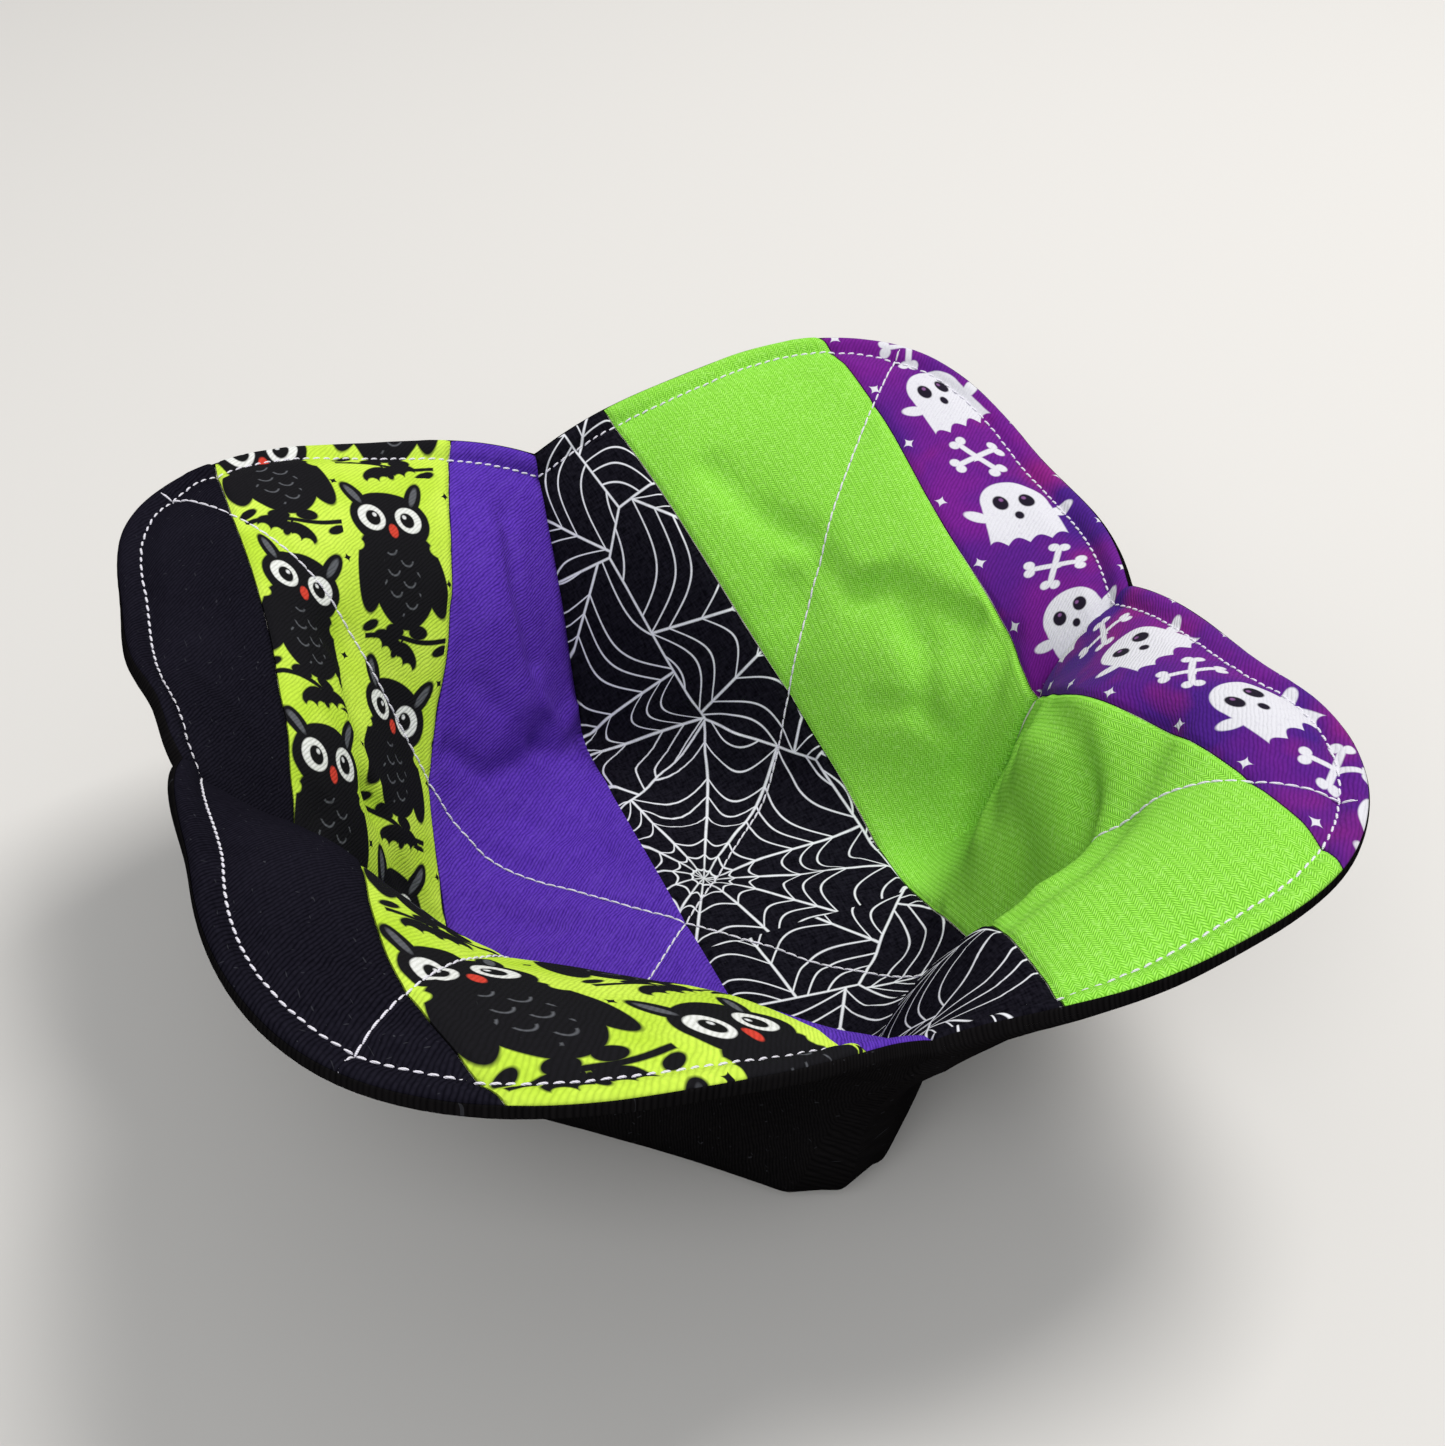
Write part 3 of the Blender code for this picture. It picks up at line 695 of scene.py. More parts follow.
# Small creases of the lining, in millimetres: a line on the flat cloth, how deep it sinks, and its half width
CREASES = (
    (((57, 96), (60, 82), (66, 71)), 2.3, 2.8),
    (((66, 64), (70, 55), (78, 51), (88, 36)), 2.8, 2.8),
    (((60, 70), (68, 60), (77, 57)), -1.1, 2.5),
    (((78, 46), (76, 34), (70, 24)), 1.8, 2.8),
    (((60, 32), (69, 26), (72, 18)), 1.4, 2.3),
    (((93, 27), (84, 18), (69, 10)), 2.1, 3.0),
    (((93, -12), (80, -10), (66, -30)), 1.8, 3.4),
    (((90, -34), (85, -55), (74, -62)), 2.1, 3.8),
    (((92, -72), (76, -77), (60, -87), (49, -88)), 2.1, 3.8),
    (((86, -60), (70, -71), (56, -80)), -1.4, 4.1),
    (((-40, 52), (-30, 48), (-20, 52)), 1.7, 2.3),
    (((1, 62), (-7, 56), (-16, 56)), 2.5, 2.1),
    (((-16, 66), (-8, 62), (-3, 68)), -1.1, 2.0),
    (((-31, 104), (-28, 88), (-20, 74)), 1.8, 2.6),
    (((-44, 80), (-39, 68), (-30, 62)), 1.1, 2.8),
    (((-77, 60), (-77, 46), (-66, 36)), -1.4, 2.8),
    (((-70, 34), (-58, 22), (-48, 14)), 1.7, 2.6),
    (((-108, 52), (-98, 36), (-88, 24)), 1.6, 3.3),
    (((-98, 14), (-88, 6), (-78, 4)), 1.8, 2.5),
    (((-31, 31), (-20, 24), (-8, 26)), 1.4, 3.0),
    (((-22, 40), (-14, 34), (-6, 36)), 1.2, 2.6),
    (((-35, 17), (-26, 8)), 1.3, 3.4),
    (((-19, 12), (-10, 2)), -0.8, 3.0),
    (((-40, -3), (-31, -11)), 1.2, 3.2),
    (((2, 60), (12, 52), (28, 50)), 2.5, 3.1),
    (((3, 48), (14, 42), (30, 43)), -1.6, 3.0),
    (((8, 32), (22, 27), (40, 30)), 1.8, 2.6),
    (((10, 12), (24, 6), (42, 8)), 1.7, 2.6),
    (((18, -18), (34, -24), (44, -20)), 1.7, 2.9),
    (((22, -40), (34, -46), (44, -52)), -1.4, 3.0),
    (((-8, -26), (-18, -34), (-30, -36)), 1.6, 2.6),
    (((-10, -40), (-20, -44), (-30, -46)), -0.9, 2.5),
)
LINING_LUMPS, LINING_LUMP_SIZE, LINING_LUMP_SEED = 0.00012, 0.007, 11.9

# The lining sinks no deeper than this, so that the batting behind it stays covered
DEEPEST_RELIEF = 0.0019


def lining_relief(flat, place, inset, around):
    """How far stitches, seams and creases sink the lining's face, and the batting behind it, by place."""
    relief = edge_relief(place, inset, around)
    relief = relief + DART_SEAM * bump_line(distance_to_darts(flat), DART_SEAM_WIDTH)

    crossways = np.abs(np.abs(flat[..., 0]) - np.abs(flat[..., 1])) / math.sqrt(2)
    groove = QUILT_GROOVE + QUILT_PULL * stitch_pull(np.linalg.norm(flat, axis=-1), QUILT_STITCH_LENGTH)
    quilting = bump_line(crossways, QUILT_GROOVE_WIDTH) * groove
    quilting = quilting + bump_line(crossways, QUILT_DIP_WIDTH) * QUILT_DIP
    uneven = patches(place, QUILT_PUCKER_SIZE, QUILT_PUCKER_SEED)
    pucker = bump_line(crossways, QUILT_PUCKER_WIDTH) * uneven * QUILT_PUCKER
    inside = ease((inset - INSIDE_START) / INSIDE_RUN)
    relief = relief + (quilting + pucker) * inside

    for seam in SEAMS:
        away = np.abs(flat[..., 0] - seam)
        sewn = np.abs(flat[..., 1]) <= TIP_REACH if seam == MIDDLE_SEAM else 1.0
        pressed = STRIP_SEAM * bump_line(away, STRIP_SEAM_WIDTH)
        relief = relief + sewn * pressed * ease(inset / STRIP_SEAM_START)
        allowance = ease(away / ALLOWANCE_START) * (1 - ease((away - ALLOWANCE_WIDTH) / ALLOWANCE_END))
        relief = relief - ALLOWANCE_RISE * allowance * (flat[..., 0] < seam)
    for line, depth, half_width in CREASES:
        crease = bump_line(distance_to_line(flat * 1000, line), half_width)
        relief = relief + depth / 1000 * crease * inside
    relief = relief + LINING_LUMPS * patches(place, LINING_LUMP_SIZE, LINING_LUMP_SEED)
    return np.where(relief > 0, DEEPEST_RELIEF * np.tanh(relief / DEEPEST_RELIEF), relief)


def batting_finish():
    """Matted cotton: cream, with fine fibres in all directions and a few darker seed specks."""
    material, shader, u, v = start_finish("cotton_batting", roughness=0.95, sheen=0.4)
    fibres = grain(u * 0.4, v, 0.5, 3.0, 1.0) + grain(u, v * 0.4, 0.5, 3.0, 5.0)
    colour = tint(fibres.between(0.7, 1.3), (0.62, 0.58, 0.49), (0.84, 0.81, 0.74))
    colour = tint(grain(u, v, 1.4, 0.0, 8.0).between(0.78, 0.82), colour, (0.30, 0.22, 0.12))
    end_finish(shader, colour, fibres, 0.0003)
    return material


batting_material = batting_finish()
for name, layer, relief_of, node in (
    ("shell_wadding", "shell batting", shell_relief, "shell_batting"),
    ("lining_wadding", "lining batting", lining_relief, "lining_batting"),
):
    wadding = sew_layer(name, plain_cloth, layer, relief_of)
    wadding.data.materials.append(batting_material)
    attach(wadding, "root")
    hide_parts(node)


# The lining's first strip, on the left: solid black cotton twill. It forms the left lip with its dart,
# and is joined to the next strip by a seam pressed flat.
SEAM_GAP = 0.0003
CREASE_STEPS = (0.0003, 0.0007, 0.0012, 0.0019, 0.0028)
LEFT_FLAPS, RIGHT_FLAPS = (BACK_LEFT, FRONT_LEFT), (FRONT_RIGHT, BACK_RIGHT)


def lining_strip(name, node, material, flaps, from_x, to_x):
    """One strip of the patchwork, with its rounded seam edges, put in place of its plain solid."""
    gap = SEAM_GAP / 2
    from_x = None if from_x is None else from_x + gap
    to_x = None if to_x is None else to_x - gap
    cuts = [from_x + step for step in CREASE_STEPS if from_x is not None]
    cuts += [to_x - step for step in CREASE_STEPS if to_x is not None]
    strip = sew_layer(name, fine_cloth, "lining", lining_relief, flaps, from_x, to_x, cuts)
    strip.data.materials.append(material)
    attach(strip, "root")
    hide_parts(node)
    return strip


lining_strip(
    "black_strip", "lining_black_strip",
    black_twill("lining_black_twill", (0.0028, 0.0026, 0.0046), (0.0100, 0.0092, 0.0150), 0.00015),
    LEFT_FLAPS, None, SEAMS[0],
)


# The second strip: lime cotton printed with black night birds, bats and small stars, a design of its own
# kind. The birds stand in two staggered columns, each turned a little its own way.
def ellipse(x, y, middle, radii, lean=0.0):
    """The distance from an ellipse's outline in millimetres, below 0 inside. Lean turns it, in degrees."""
    dx, dy = x - middle[0], y - middle[1]
    if lean:
        cosine, sine = math.cos(math.radians(lean)), math.sin(math.radians(lean))
        dx, dy = dx * cosine + dy * sine, dy * cosine - dx * sine
    return (((dx / radii[0]) ** 2 + (dy / radii[1]) ** 2) ** 0.5 - 1) * min(radii)


def union(*distances):
    """The outline around several shapes together."""
    whole = distances[0]
    for distance in distances[1:]:
        whole = whole.low(distance)
    return whole


def ellipses(x, y, *shapes):
    """The outline around several ellipses: the middle, radii and lean of each."""
    return union(*(ellipse(x, y, *shape) for shape in shapes))


def inked(distance, softness=0.14):
    """1 inside an outline, 0 outside it, with the slightly soft edge of a print."""
    return distance.between(softness, -softness)


def repeat(u, v, width, height, shift=(0.0, 0.0), sway=0.0):
    """Splits the cloth into staggered cells, and gives the place within a cell. Each cell is turned by
    chance, up to the sway, in degrees."""
    columns = (u - shift[0]) / width
    column = columns.floor()
    x = (columns - column - 0.5) * width
    rows = (v - shift[1]) / height + column * 0.5
    row = rows.floor()
    y = (rows - row - 0.5) * height
    if sway:
        angle = (column.point(row, 0.5).chance() - 0.5) * math.radians(2 * sway)
        cosine, sine = angle.cos(), angle.sin()
        x, y = x * cosine + y * sine, y * cosine - x * sine
    return x, y


def bat(x, y):
    """A small bat with spread wings, as an outline."""
    side = abs(x)
    wing = ellipse(side, y, (3.0, 0.2), (3.4, 1.9), -14)
    scallops = ellipses(side, y, ((1.9, -2.0), (1.2, 1.3)), ((4.6, -2.3), (1.5, 1.7)))
    body = union(ellipse(x, y, (0, 0), (1.0, 1.9)), ellipse(side, y, (0.55, 1.9), (0.32, 0.8), -10))
    return wing.high(-scallops).low(body)


def star(x, y, reach):
    """A four-pointed star, as an outline."""
    return (abs(x) ** 0.6 + abs(y) ** 0.6) ** (1 / 0.6) - reach


BIRD_CELL = (24.8, 41.0)
BIRD_SHIFT = (-95.5, 7.0)
BIRD_STAR_SHIFT = (-89.3, 3.0)
PRINT_BLACK = (0.0085, 0.0082, 0.0100)


def night_bird_print():
    """Lime cotton with its black print, white ringed eyes, small red beaks and grey feather marks."""
    material, shader, u, v = start_finish("night_bird_print", roughness=0.88, specular=0.03)
    weave = twill(u, v)
    x, y = repeat(u, v, *BIRD_CELL, BIRD_SHIFT, sway=9)
    side = abs(x)
    body = ellipses(x, y, ((0, -4.5), (8.2, 11.5)), ((0, 7.6), (9.2, 7.4)))
    tufts_wings_feet = ellipses(
        side, y, ((6.6, 13.6), (1.9, 4.6), -24), ((7.6, -4.5), (3.2, 9.0), 12), ((3.0, -16.2), (2.4, 1.5))
    )
    neck = ellipse(side, y, (10.6, 1.4), (2.6, 1.7))
    bird = union(body, tufts_wings_feet).high(-neck)
    twig = abs(y + 17.6 + (x * 0.35).sin() * 0.5) - 0.55
    leaves = ellipses(x, y, ((-9.2, -15.6), (2.3, 1.0), 28), ((8.6, -19.6), (2.3, 1.0), 24))
    between_birds = (BIRD_SHIFT[0], BIRD_SHIFT[1] + BIRD_CELL[1] / 2)
    bat_x, bat_y = repeat(u, v, *BIRD_CELL, between_birds, sway=24)
    star_x, star_y = repeat(u, v, BIRD_CELL[0] / 2, BIRD_CELL[1] / 2, BIRD_STAR_SHIFT, sway=40)
    flying = bat(bat_x, bat_y * 0.9 - 0.5)
    black = union(bird, twig.high(side - 10.6), leaves, flying, star(star_x, star_y, 1.1))

    ring = ellipse(side, y, (4.3, 8.0), (3.05, 3.2))
    pupil = ellipse(side, y, (4.0, 7.9), (1.65, 1.9))
    glint = ellipse(side, y, (3.5, 8.7), (0.45, 0.5))
    beak = ellipse(x, y, (0, 5.0), (1.05, 1.6))
    tuft = ellipse(side, y, (6.9, 14.2), (0.75, 2.6), -24)
    scale_x, scale_y = repeat(x, y, 3.6, 4.4)
    arc = abs(ellipse(scale_x, scale_y, (0, 1.2), (1.5, 1.7))) - 0.16
    breast = ellipse(x, y, (0, -6.0), (4.6, 7.2))
    feathers = inked(arc.high(scale_y - 0.6).high(breast), 0.12)

    dye = grain(u, v, 14.0, 2.0, 3.0)
    colour = tint(dye.between(0.3, 0.7), (0.430, 0.640, 0.040), (0.560, 0.760, 0.085))
    colour = tint(inked(black), colour, PRINT_BLACK)
    colour = tint((feathers + inked(tuft)).clamp() * 0.9, colour, (0.105, 0.110, 0.125))
    for outline, ink in (
        (ring, (0.70, 0.71, 0.70)),
        (pupil, (0.0080, 0.0080, 0.0090)),
        (glint, (0.66, 0.67, 0.69)),
        (beak, (0.560, 0.050, 0.032)),
    ):
        colour = tint(inked(outline), colour, ink)
    # Painted shade: the grooves between the twill's ribs are darkened in the colour.
    colour = tint(weave.between(1.0, 0.1) * 0.30, colour, (0.10, 0.13, 0.02), "MULTIPLY")
    end_finish(shader, colour, weave, 0.00012)
    return material


lining_strip(
    "lime_strip", "lining_lime_strip", night_bird_print(),
    LEFT_FLAPS, SEAMS[0], SEAMS[1],
)


# The third strip: solid violet-blue cotton twill, just left of the middle seam. Its ribs show as fine
# slanted lines, paler on top, where the thread has worn.
def purple_twill():
    """A solid-dyed twill: deep between the ribs, bright on them, with paler streaks in the dye."""
    material, shader, u, v = start_finish("purple_twill", roughness=0.88, specular=0.05)
    weave = twill(u, v, 0.66)
    streak = grain(u * 0.6 - v * 0.6, (u + v) * 0.08, 1.0, 2.0, 6.0)
    dye = grain(u, v, 20.0, 3.0, 12.0)
    deep = (0.034, 0.010, 0.185)
    colour = tint(weave.between(0.05, 0.95), deep, (0.108, 0.037, 0.430))
    colour = tint(streak.between(0.45, 0.75) * 0.16, colour, (0.170, 0.085, 0.520))
    colour = tint(dye.between(0.35, 0.70) * 0.18, colour, deep)
    end_finish(shader, colour, weave)
    return material


lining_strip(
    "purple_strip", "lining_purple_strip", purple_twill(),
    LEFT_FLAPS, SEAMS[1], None,
)


# The fourth strip: black cotton printed all over with white webs, just right of the middle seam. Each web
# has spokes from its own middle and sagging cross threads, and meets its neighbours half-way.
WEB_SIZE = 66.0
WEB_SHIFT = (20.0, 9.0)
SPOKES = 12
THIN_SPOKE, SPOKE_GAIN, SPOKE_GAIN_REACH = 0.10, 0.17, 12.0
SPOKE_CHANCE = 0.5
SAG = 0.18
THREAD_SPACING, SPACING_POWER = 4.6, 0.90
UNEVEN, UNEVEN_RATE = 0.25, 0.30
HALF_LINE = 0.25
LINE_SOFTNESS = 0.12


def web_print():
    """Black plain cotton with a layout of webs, drawn in white lines under a millimetre wide."""
    material, shader, u, v = start_finish("web_print", roughness=0.90, specular=0.0)
    place = (u + WEB_SHIFT[0]).point(v + WEB_SHIFT[1])
    cells = {"Vector": place, "Scale": 1 / WEB_SIZE, "Randomness": 0.5}
    kind = "ShaderNodeTexVoronoi"
    middle = u.add(kind, {"voronoi_dimensions": "2D", "feature": "F1"}, cells, "Position")
    border = u.add(kind, {"voronoi_dimensions": "2D", "feature": "DISTANCE_TO_EDGE"}, cells)
    chance = middle.chance()
    offset = u.add("ShaderNodeVectorMath", {"operation": "SUBTRACT"}, {0: place, 1: middle})
    x, y = offset.axis("X"), offset.axis("Y")
    radius = (x * x + y * y) ** 0.5
    turn = y.math("ARCTAN2", y, x) * (SPOKES / (2 * math.pi))
    first = turn.floor()

    def spoke_turn(number):
        """Where a spoke stands: its number, and up to half a sector more by chance."""
        return number + number.wrap(SPOKES).point(chance * 50, 0.5).chance() * SPOKE_CHANCE

    before, here, after = spoke_turn(first - 1), spoke_turn(first), spoke_turn(first + 1)
    past = turn.over(here)
    lower = before + (here - before) * past
    upper = here + (after - here) * past
    share = (turn - lower) / (upper - lower)
    spoke = (turn - lower).low(upper - turn) * radius * (2 * math.pi / SPOKES)

    # The cross threads lie where the count is half-way between whole numbers. Its growth along a spoke turns
    # the distance from them into millimetres.
    reach = radius / (1 - share * (1 - share) * 4 * SAG)
    steps = reach / THREAD_SPACING
    wave = reach * UNEVEN_RATE + chance * 20
    count = steps**SPACING_POWER + wave.sin() * UNEVEN
    growth = (steps + 0.05) ** (SPACING_POWER - 1) * (SPACING_POWER / THREAD_SPACING)
    growth = growth + wave.cos() * (UNEVEN * UNEVEN_RATE)
    thread = abs(count - count.floor() - 0.5) / growth
    half_spoke = radius.between(0.0, SPOKE_GAIN_REACH) * SPOKE_GAIN + THIN_SPOKE
    lines = inked(spoke - half_spoke, LINE_SOFTNESS).high(inked(thread - HALF_LINE, LINE_SOFTNESS))
    lines = lines.high(inked(border * WEB_SIZE - HALF_LINE, LINE_SOFTNESS))

    ink = grain(u, v, 1.2, 2.0, 14.0).between(0.15, 0.45)
    weave = grain(u, v * 0.25, 0.5, 1.0, 3.0) + grain(u * 0.25, v, 0.5, 1.0, 7.0)
    ground = tint(weave.between(0.7, 1.3), (0.0028, 0.0026, 0.0044), (0.0105, 0.0098, 0.0150))
    colour = tint(lines * (0.72 + 0.28 * ink), ground, (0.66, 0.67, 0.71))
    end_finish(shader, colour, weave * 0.6 + lines * 0.25, 0.00010)
    return material


lining_strip(
    "web_strip", "lining_web_strip", web_print(),
    RIGHT_FLAPS, None, SEAMS[3],
)


# The fifth strip: solid bright green cotton in a fine herringbone, where the twill turns back on itself
# every millimetre or so.
HERRINGBONE_COLUMN, HERRINGBONE_RIB = 0.95, 0.56


def herringbone_green():
    """Bright green cotton: short slanted ribs that change sides in narrow columns."""
    material, shader, u, v = start_finish("green_herringbone", roughness=0.88, specular=0.05)
    columns = u / HERRINGBONE_COLUMN + (grain(u, v, 5.0, 1.0, 2.0) - 0.5) * 0.25
    share = columns - columns.floor()
    pairs = columns * 0.5
    zigzag = abs((pairs - pairs.floor()) - 0.5) * 2 * HERRINGBONE_COLUMN
    turns = (v + zigzag) / HERRINGBONE_RIB + (grain(u, v, 2.0, 1.0, 5.0) - 0.5) * 0.5
    ridge = abs((turns * math.pi).sin())
    weave = ridge * (0.45 + 0.55 * (share * math.pi).sin())
    dye = grain(u, v, 22.0, 3.0, 12.0)
    fleck = grain(u, v, 0.7, 1.0, 18.0)
    colour = tint(weave.between(0.05, 0.95), (0.125, 0.405, 0.016), (0.335, 0.775, 0.090))
    colour = tint(fleck.between(0.50, 0.75) * 0.42, colour, (0.430, 0.840, 0.180))
    colour = tint(dye.between(0.35, 0.70) * 0.15, colour, (0.150, 0.480, 0.030))
    end_finish(shader, colour, weave)
    return material


lining_strip(
    "green_strip", "lining_green_strip", herringbone_green(),
    RIGHT_FLAPS, SEAMS[3], SEAMS[4],
)


# The sixth strip, on the right: violet cotton mottled with magenta, printed with white floating spirits,
# crossed bones and small stars, a design of its own kind.
SPIRIT_CELL = (25.0, 34.0)
SPIRIT_SHIFT = (95.5, 4.0)
SPIRIT_STAR_SHIFT = (101.7, 12.0)


def spirit_print():
    """Violet cotton with its white print; the spirits have dark eyes and wavy hems."""
    material, shader, u, v = start_finish("spirit_print", roughness=0.88, sheen=0.02, specular=0.06)
    weave = twill(u, v)
    x, y = repeat(u, v, *SPIRIT_CELL, SPIRIT_SHIFT, sway=14)
    side = abs(x)
    head = ellipse(x, y, (0, 3.0), (6.3, 6.2))
    hem = (y + 8.6) * -1 + abs((x * (math.pi / 4.2)).sin()) * 1.7
    robe = (side - 6.3 - (3.0 - y) * 0.10).high(y - 3.0).high(hem)
    arms = ellipse(side, y, (7.8, 0.2), (2.7, 1.35), 28)
    eye = ellipse(side, y, (2.45, 3.6), (1.45, 1.95))
    glint = ellipse(side, y, (2.1, 4.4), (0.40, 0.45))
    mouth = ellipse(x, y, (0, -0.4), (0.85, 1.15))
    between_spirits = (SPIRIT_SHIFT[0], SPIRIT_SHIFT[1] + SPIRIT_CELL[1] / 2)
    bone_x, bone_y = repeat(u, v, *SPIRIT_CELL, between_spirits, sway=30)
    across, along = abs(bone_x), abs(bone_y)
    shaft = (abs(across * 0.62 - along * 0.78) - 0.62).high(across * 0.78 + along * 0.62 - 5.0)
    knobs = ellipses(across, along, ((4.6, 2.5), (1.15, 1.05)), ((3.3, 4.0), (1.1, 1.1)))
    star_x, star_y = repeat(u, v, SPIRIT_CELL[0] / 2, SPIRIT_CELL[1] / 2, SPIRIT_STAR_SHIFT, sway=40)
    white = union(head, robe, arms, shaft, knobs, star(star_x, star_y, 1.5))

    mottle = grain(u, v, 30.0, 3.0, 40.0)
    cloud = grain(u, v, 17.0, 2.0, 23.0)
    ground = tint(mottle.between(0.38, 0.62), (0.060, 0.012, 0.200), (0.155, 0.012, 0.230))
    ground = tint(cloud.between(0.52, 0.72) * 0.75, ground, (0.260, 0.014, 0.175))
    # Painted shade: the grooves between the twill's ribs are darkened in the ground colour.
    ground = tint(weave.between(1.0, 0.1) * 0.45, ground, (0.20, 0.10, 0.30), "MULTIPLY")
    ink = grain(u, v, 1.0, 2.0, 14.0).between(0.10, 0.45)
    colour = tint(inked(white) * (0.85 + 0.15 * ink), ground, (0.57, 0.57, 0.61))
    colour = tint(inked(eye).high(inked(mouth)), colour, (0.0100, 0.0070, 0.0160))
    colour = tint(inked(glint) * 0.6, colour, (0.30, 0.12, 0.34))
    end_finish(shader, colour, weave, 0.00013)
    return material


lining_strip(
    "violet_strip", "lining_violet_strip", spirit_print(),
    RIGHT_FLAPS, SEAMS[4], None,
)


# The threads: white sewing thread in short straight stitches. One run follows the edge, about 5 mm inside
# it, and holds the turned edge flat. Two run from corner to corner and quilt the lining to its batting.
THREAD = 0.00042
STITCH_SIDES = 6
STITCH_RINGS = 7
STITCH_BLUNTNESS = 0.7
STITCH_DIP = 0.8


def model_stitch():
    """One stitch along X, a unit long and a unit thick: a short arch of thread that dips in at both ends."""
    bpy.ops.mesh.primitive_uv_sphere_add(segments=STITCH_SIDES, ring_count=STITCH_RINGS, radius=0.5)
    model = bpy.context.active_object
    bpy.ops.object.mode_set(mode="EDIT")
    bpy.ops.transform.rotate(value=math.pi / 2, orient_axis="Y", center_override=(0, 0, 0))
    bpy.ops.object.mode_set(mode="OBJECT")
    mesh = model.data
    points = np.array([vert.co for vert in mesh.vertices])
    points[:, 0] = np.sign(points[:, 0]) * np.abs(2 * points[:, 0]) ** STITCH_BLUNTNESS / 2
    points[:, 2] -= STITCH_DIP * (2 * points[:, 0]) ** 4
    faces = [tuple(face.vertices) for face in mesh.polygons]
    bpy.data.objects.remove(model)
    bpy.data.meshes.remove(mesh)
    return points, faces


STITCH_POINTS, STITCH_FACES = model_stitch()
PLY_LENGTH = 0.42


def thread_finish():
    """White polyester-cotton thread: two plies twisted together, slightly grey between them."""
    material, shader = new_material("white_thread", {"Roughness": 0.60, "Sheen Weight": 0.25})
    place = Wire(material.node_tree).add("ShaderNodeTexCoord", (), (), "Object")
    x, y, z = (place.axis(name) * 1000 for name in "XYZ")
    ply = abs(((x * 0.8 + y * 0.7 + z * 0.9) * (math.pi / PLY_LENGTH)).sin())
    colour = tint(ply.between(0.0, 0.7), (0.44, 0.42, 0.50), (0.70, 0.69, 0.74))
    uneven = grain(x, y, 2.5, 2.0, 3.0)
    colour = tint(uneven.between(0.40, 0.75) * 0.4, colour, (0.66, 0.63, 0.76))
    end_finish(shader, colour, ply, 0.00010, strength=0.6)
    return material


white_thread = thread_finish()
HOLE_CHANCE = 0.06
ANGLE_CHANCE = 0.04


def lining_face(grid, column, row):
    """A place on the lining's face in the finished relief, and its normal."""
    flat, place = grid["flat"][column, row][None], grid["place"][column, row][None]
    inset, around = grid["inset"][column, row][None], around_edge(grid)[column, row][None]
    near, _ = layer_depths("lining", inset, lining_relief(flat, place, inset, around), 0.0)
    normal = grid["normal"][column, row]
    return place[0] + normal * (near[0] - middle_depth(inset[0])), normal


def sew_stitches(name, node, run, length, slant, seed, filled, thick, sunk):
    """Lays stitches along a run of places and normals, each from one needle hole to the next. A stitch fills
    a share of that length, and lies as thick as pulled thread does, sunk by a share of its thickness."""
    chance = np.random.default_rng(seed)
    places, normals = (np.array(values) for values in zip(*run))
    walked = np.concatenate([[0], np.cumsum(np.linalg.norm(np.diff(places, axis=0), axis=1))])
    count = max(1, round(walked[-1] / length))
    holes = np.linspace(0, walked[-1], count + 1)
    holes[1:-1] += chance.uniform(-HOLE_CHANCE, HOLE_CHANCE, count - 1) * length

    def at(distance, values):
        return np.array([np.interp(distance, walked, values[:, axis]) for axis in range(3)])

    points, faces = [], []
    for start, end in zip(holes, holes[1:]):
        first_hole, last_hole = at(start, places), at(end, places)
        normal = at((start + end) / 2, normals)
        normal /= np.linalg.norm(normal)
        straight = last_hole - first_hole
        reach = np.linalg.norm(straight)
        straight /= reach
        side = np.cross(normal, straight)
        side /= np.linalg.norm(side)
        angle = slant + chance.uniform(-ANGLE_CHANCE, ANGLE_CHANCE)
        cosine, sine = math.cos(angle), math.sin(angle)
        along, across = straight * cosine + side * sine, side * cosine - straight * sine
        middle = (first_hole + last_hole) / 2 + normal * THREAD * (0.5 - sunk)
        scale = np.array([reach * filled, THREAD * thick, THREAD])
        first = len(points)
        points.extend(STITCH_POINTS * scale @ np.array([along, across, np.cross(along, across)]) + middle)
        faces.extend(tuple(first + index for index in face) for face in STITCH_FACES)
    mesh = bpy.data.meshes.new(name)
    mesh.from_pydata(points, [], faces)
    mesh.shade_smooth()
    mesh.materials.append(white_thread)
    piece = add_object(name, mesh)
    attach(piece, "root")
    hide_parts(node)


RAYS, ROWS = fine_cloth[0]["inset"].shape
STITCH_ROW = ROWS - len(RIM_FINE) + RIM_FINE.index(STITCH_INSET)
LINING_END_ROW = ROWS - len(RIM_FINE) + RIM_FINE.index(LINING_END)
MIDDLE_RAY = (RAYS - 1) // 2

edge_run = [lining_face(grid, column, STITCH_ROW) for grid in fine_cloth for column in range(RAYS - 1)]
edge_run.append(edge_run[0])
sew_stitches(
    "edge_stitches", "rim_topstitch", edge_run, STITCH_LENGTH,
    slant=0.14, seed=4, filled=0.86, thick=1.15, sunk=0.30,
)
for name, node, first_flap, second_flap, seed in (
    ("quilting_left_to_right", "quilting_thread_left_to_right", BACK_LEFT, FRONT_RIGHT, 7),
    ("quilting_front_to_back", "quilting_thread_front_to_back", FRONT_LEFT, BACK_RIGHT, 9),
):
    inwards = [lining_face(fine_cloth[first_flap], MIDDLE_RAY, row) for row in range(LINING_END_ROW, 0, -1)]
    outwards = [lining_face(fine_cloth[second_flap], MIDDLE_RAY, row) for row in range(LINING_END_ROW + 1)]
    sew_stitches(
        name, node, inwards + outwards, QUILT_STITCH_LENGTH,
        slant=0.05, seed=seed, filled=1.08, thick=1.05, sunk=0.10,
    )


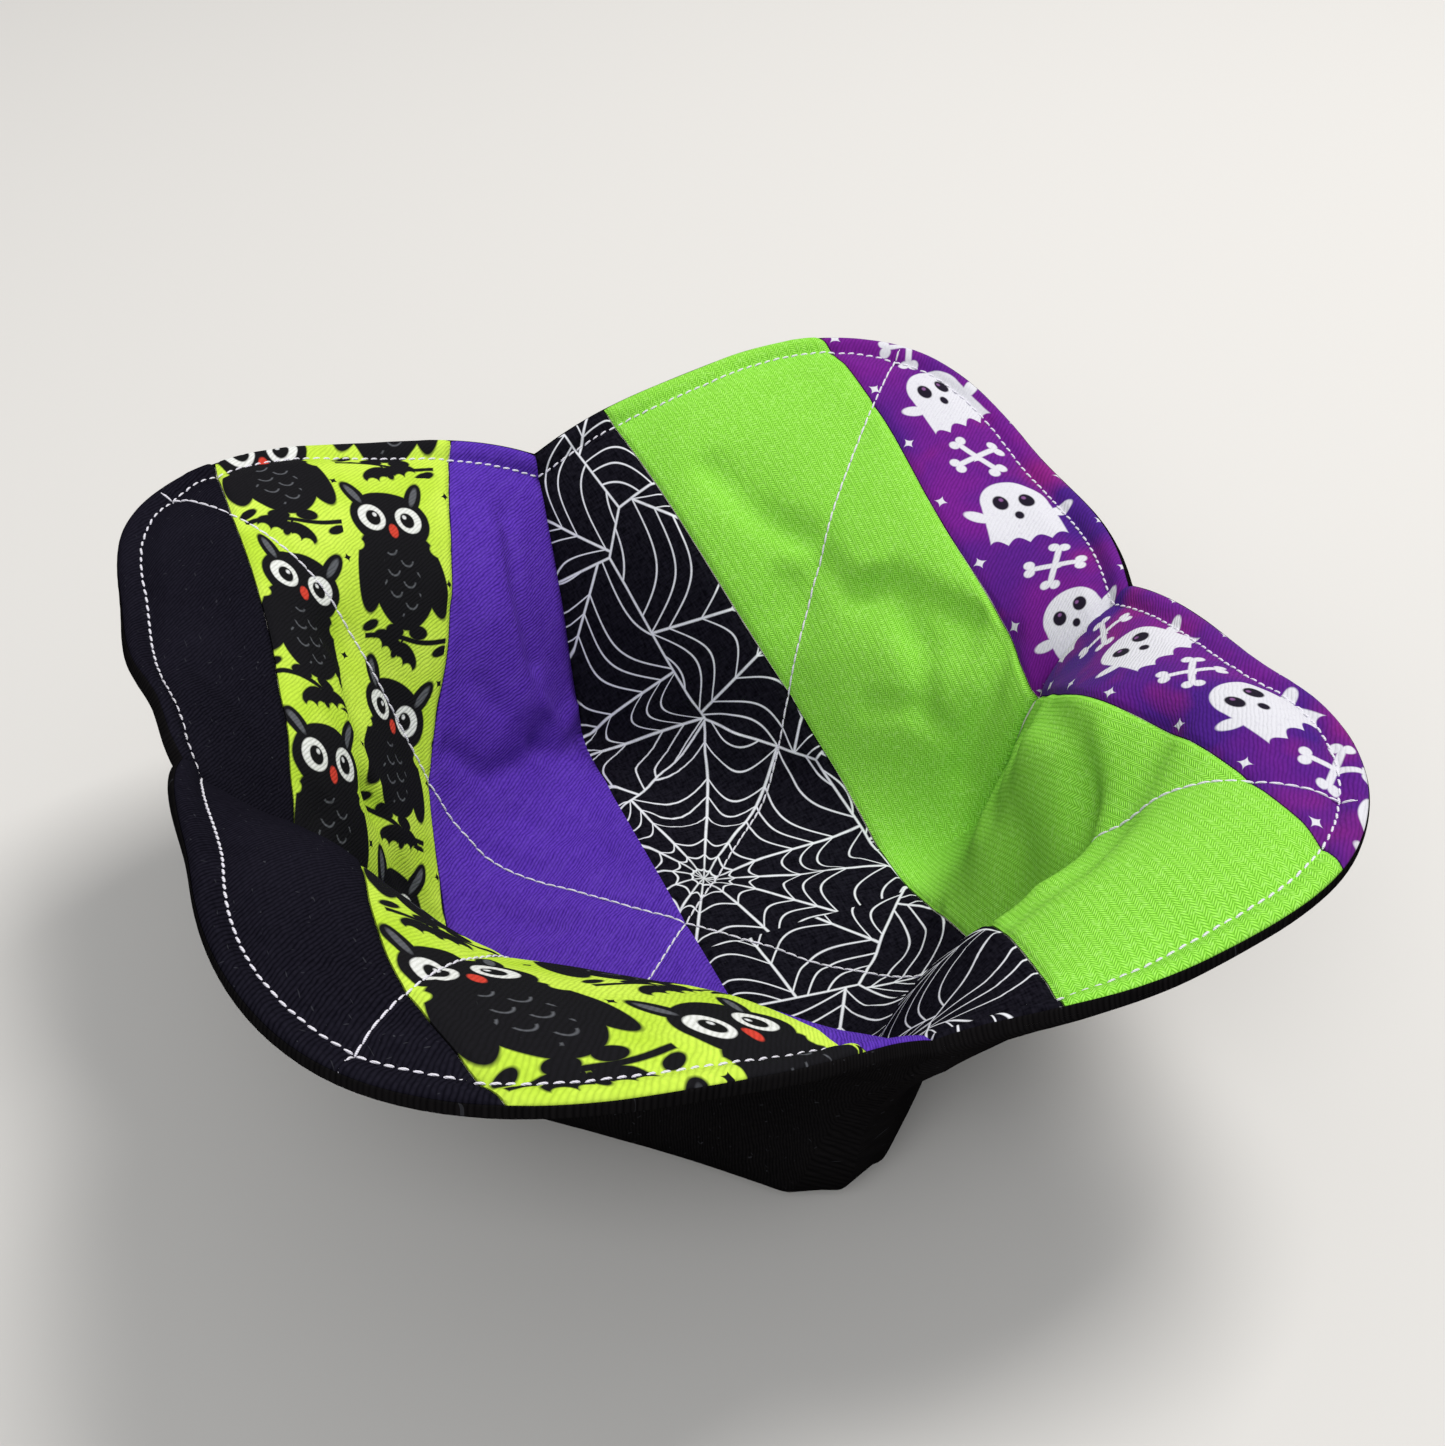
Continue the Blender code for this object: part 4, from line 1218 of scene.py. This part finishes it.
# Where it stands: a plain pale floor under soft studio light, seen from the photograph's angle.
FLOOR_SIZE = 8
FLOOR_DROP = 0.0004
STUDIO_STRENGTH = 0.42
bpy.ops.mesh.primitive_plane_add(size=FLOOR_SIZE, location=(0, 0, -FLOOR_DROP))
floor = bpy.context.active_object
floor.name = "floor"
pale_floor, _ = new_material("pale_floor", {"Base Color": (0.56, 0.55, 0.53, 1), "Roughness": 0.9})
floor.data.materials.append(pale_floor)

world = bpy.data.worlds.new("studio")
world.use_nodes = True
background = world.node_tree.nodes["Background"]
background.inputs["Color"].default_value = (1.0, 1.0, 1.0, 1)
background.inputs["Strength"].default_value = STUDIO_STRENGTH
bpy.context.scene.world = world
LIT_PLACE = Vector((0, 0, 0.04))


def area_light(name, place, size, power, colour):
    """A soft square lamp that points at the cozy."""
    lamp = bpy.data.lights.new(name, "AREA")
    lamp.shape = "SQUARE"
    lamp.size = size
    lamp.energy = power
    lamp.color = colour
    holder = add_object(name, lamp)
    holder.location = place
    holder.rotation_euler = (LIT_PLACE - Vector(place)).to_track_quat("-Z", "Y").to_euler()


area_light("key", (0.75, 0.35, 1.50), 0.70, 26.0, (1.0, 0.98, 0.96))
area_light("fill", (-0.75, -1.15, 1.25), 1.20, 19.0, (0.97, 0.98, 1.0))

PHOTO_WIDTH, PHOTO_HEIGHT = 1445, 1446
FOCAL_PIXELS = 1959
CAMERA_AZIMUTH = math.radians(22.0)
CAMERA_ELEVATION = math.radians(36.1)
CAMERA_DISTANCE = 0.3878
CAMERA_TARGET = Vector((0.0159, 0.0201, 0.0300 + FLOOR_HEIGHT))
SENSOR_WIDTH = 36.0

camera = add_object("camera", bpy.data.cameras.new("camera"))
forward = Vector((
    math.sin(CAMERA_AZIMUTH) * math.cos(CAMERA_ELEVATION),
    math.cos(CAMERA_AZIMUTH) * math.cos(CAMERA_ELEVATION),
    -math.sin(CAMERA_ELEVATION),
))
camera.location = CAMERA_TARGET - forward * CAMERA_DISTANCE
camera.rotation_euler = forward.to_track_quat("-Z", "Y").to_euler()
camera.data.sensor_width = SENSOR_WIDTH
camera.data.lens = SENSOR_WIDTH * FOCAL_PIXELS / max(PHOTO_WIDTH, PHOTO_HEIGHT)
camera.data.clip_start = 0.01
bpy.context.scene.camera = camera
bpy.context.scene.view_settings.view_transform = "Standard"
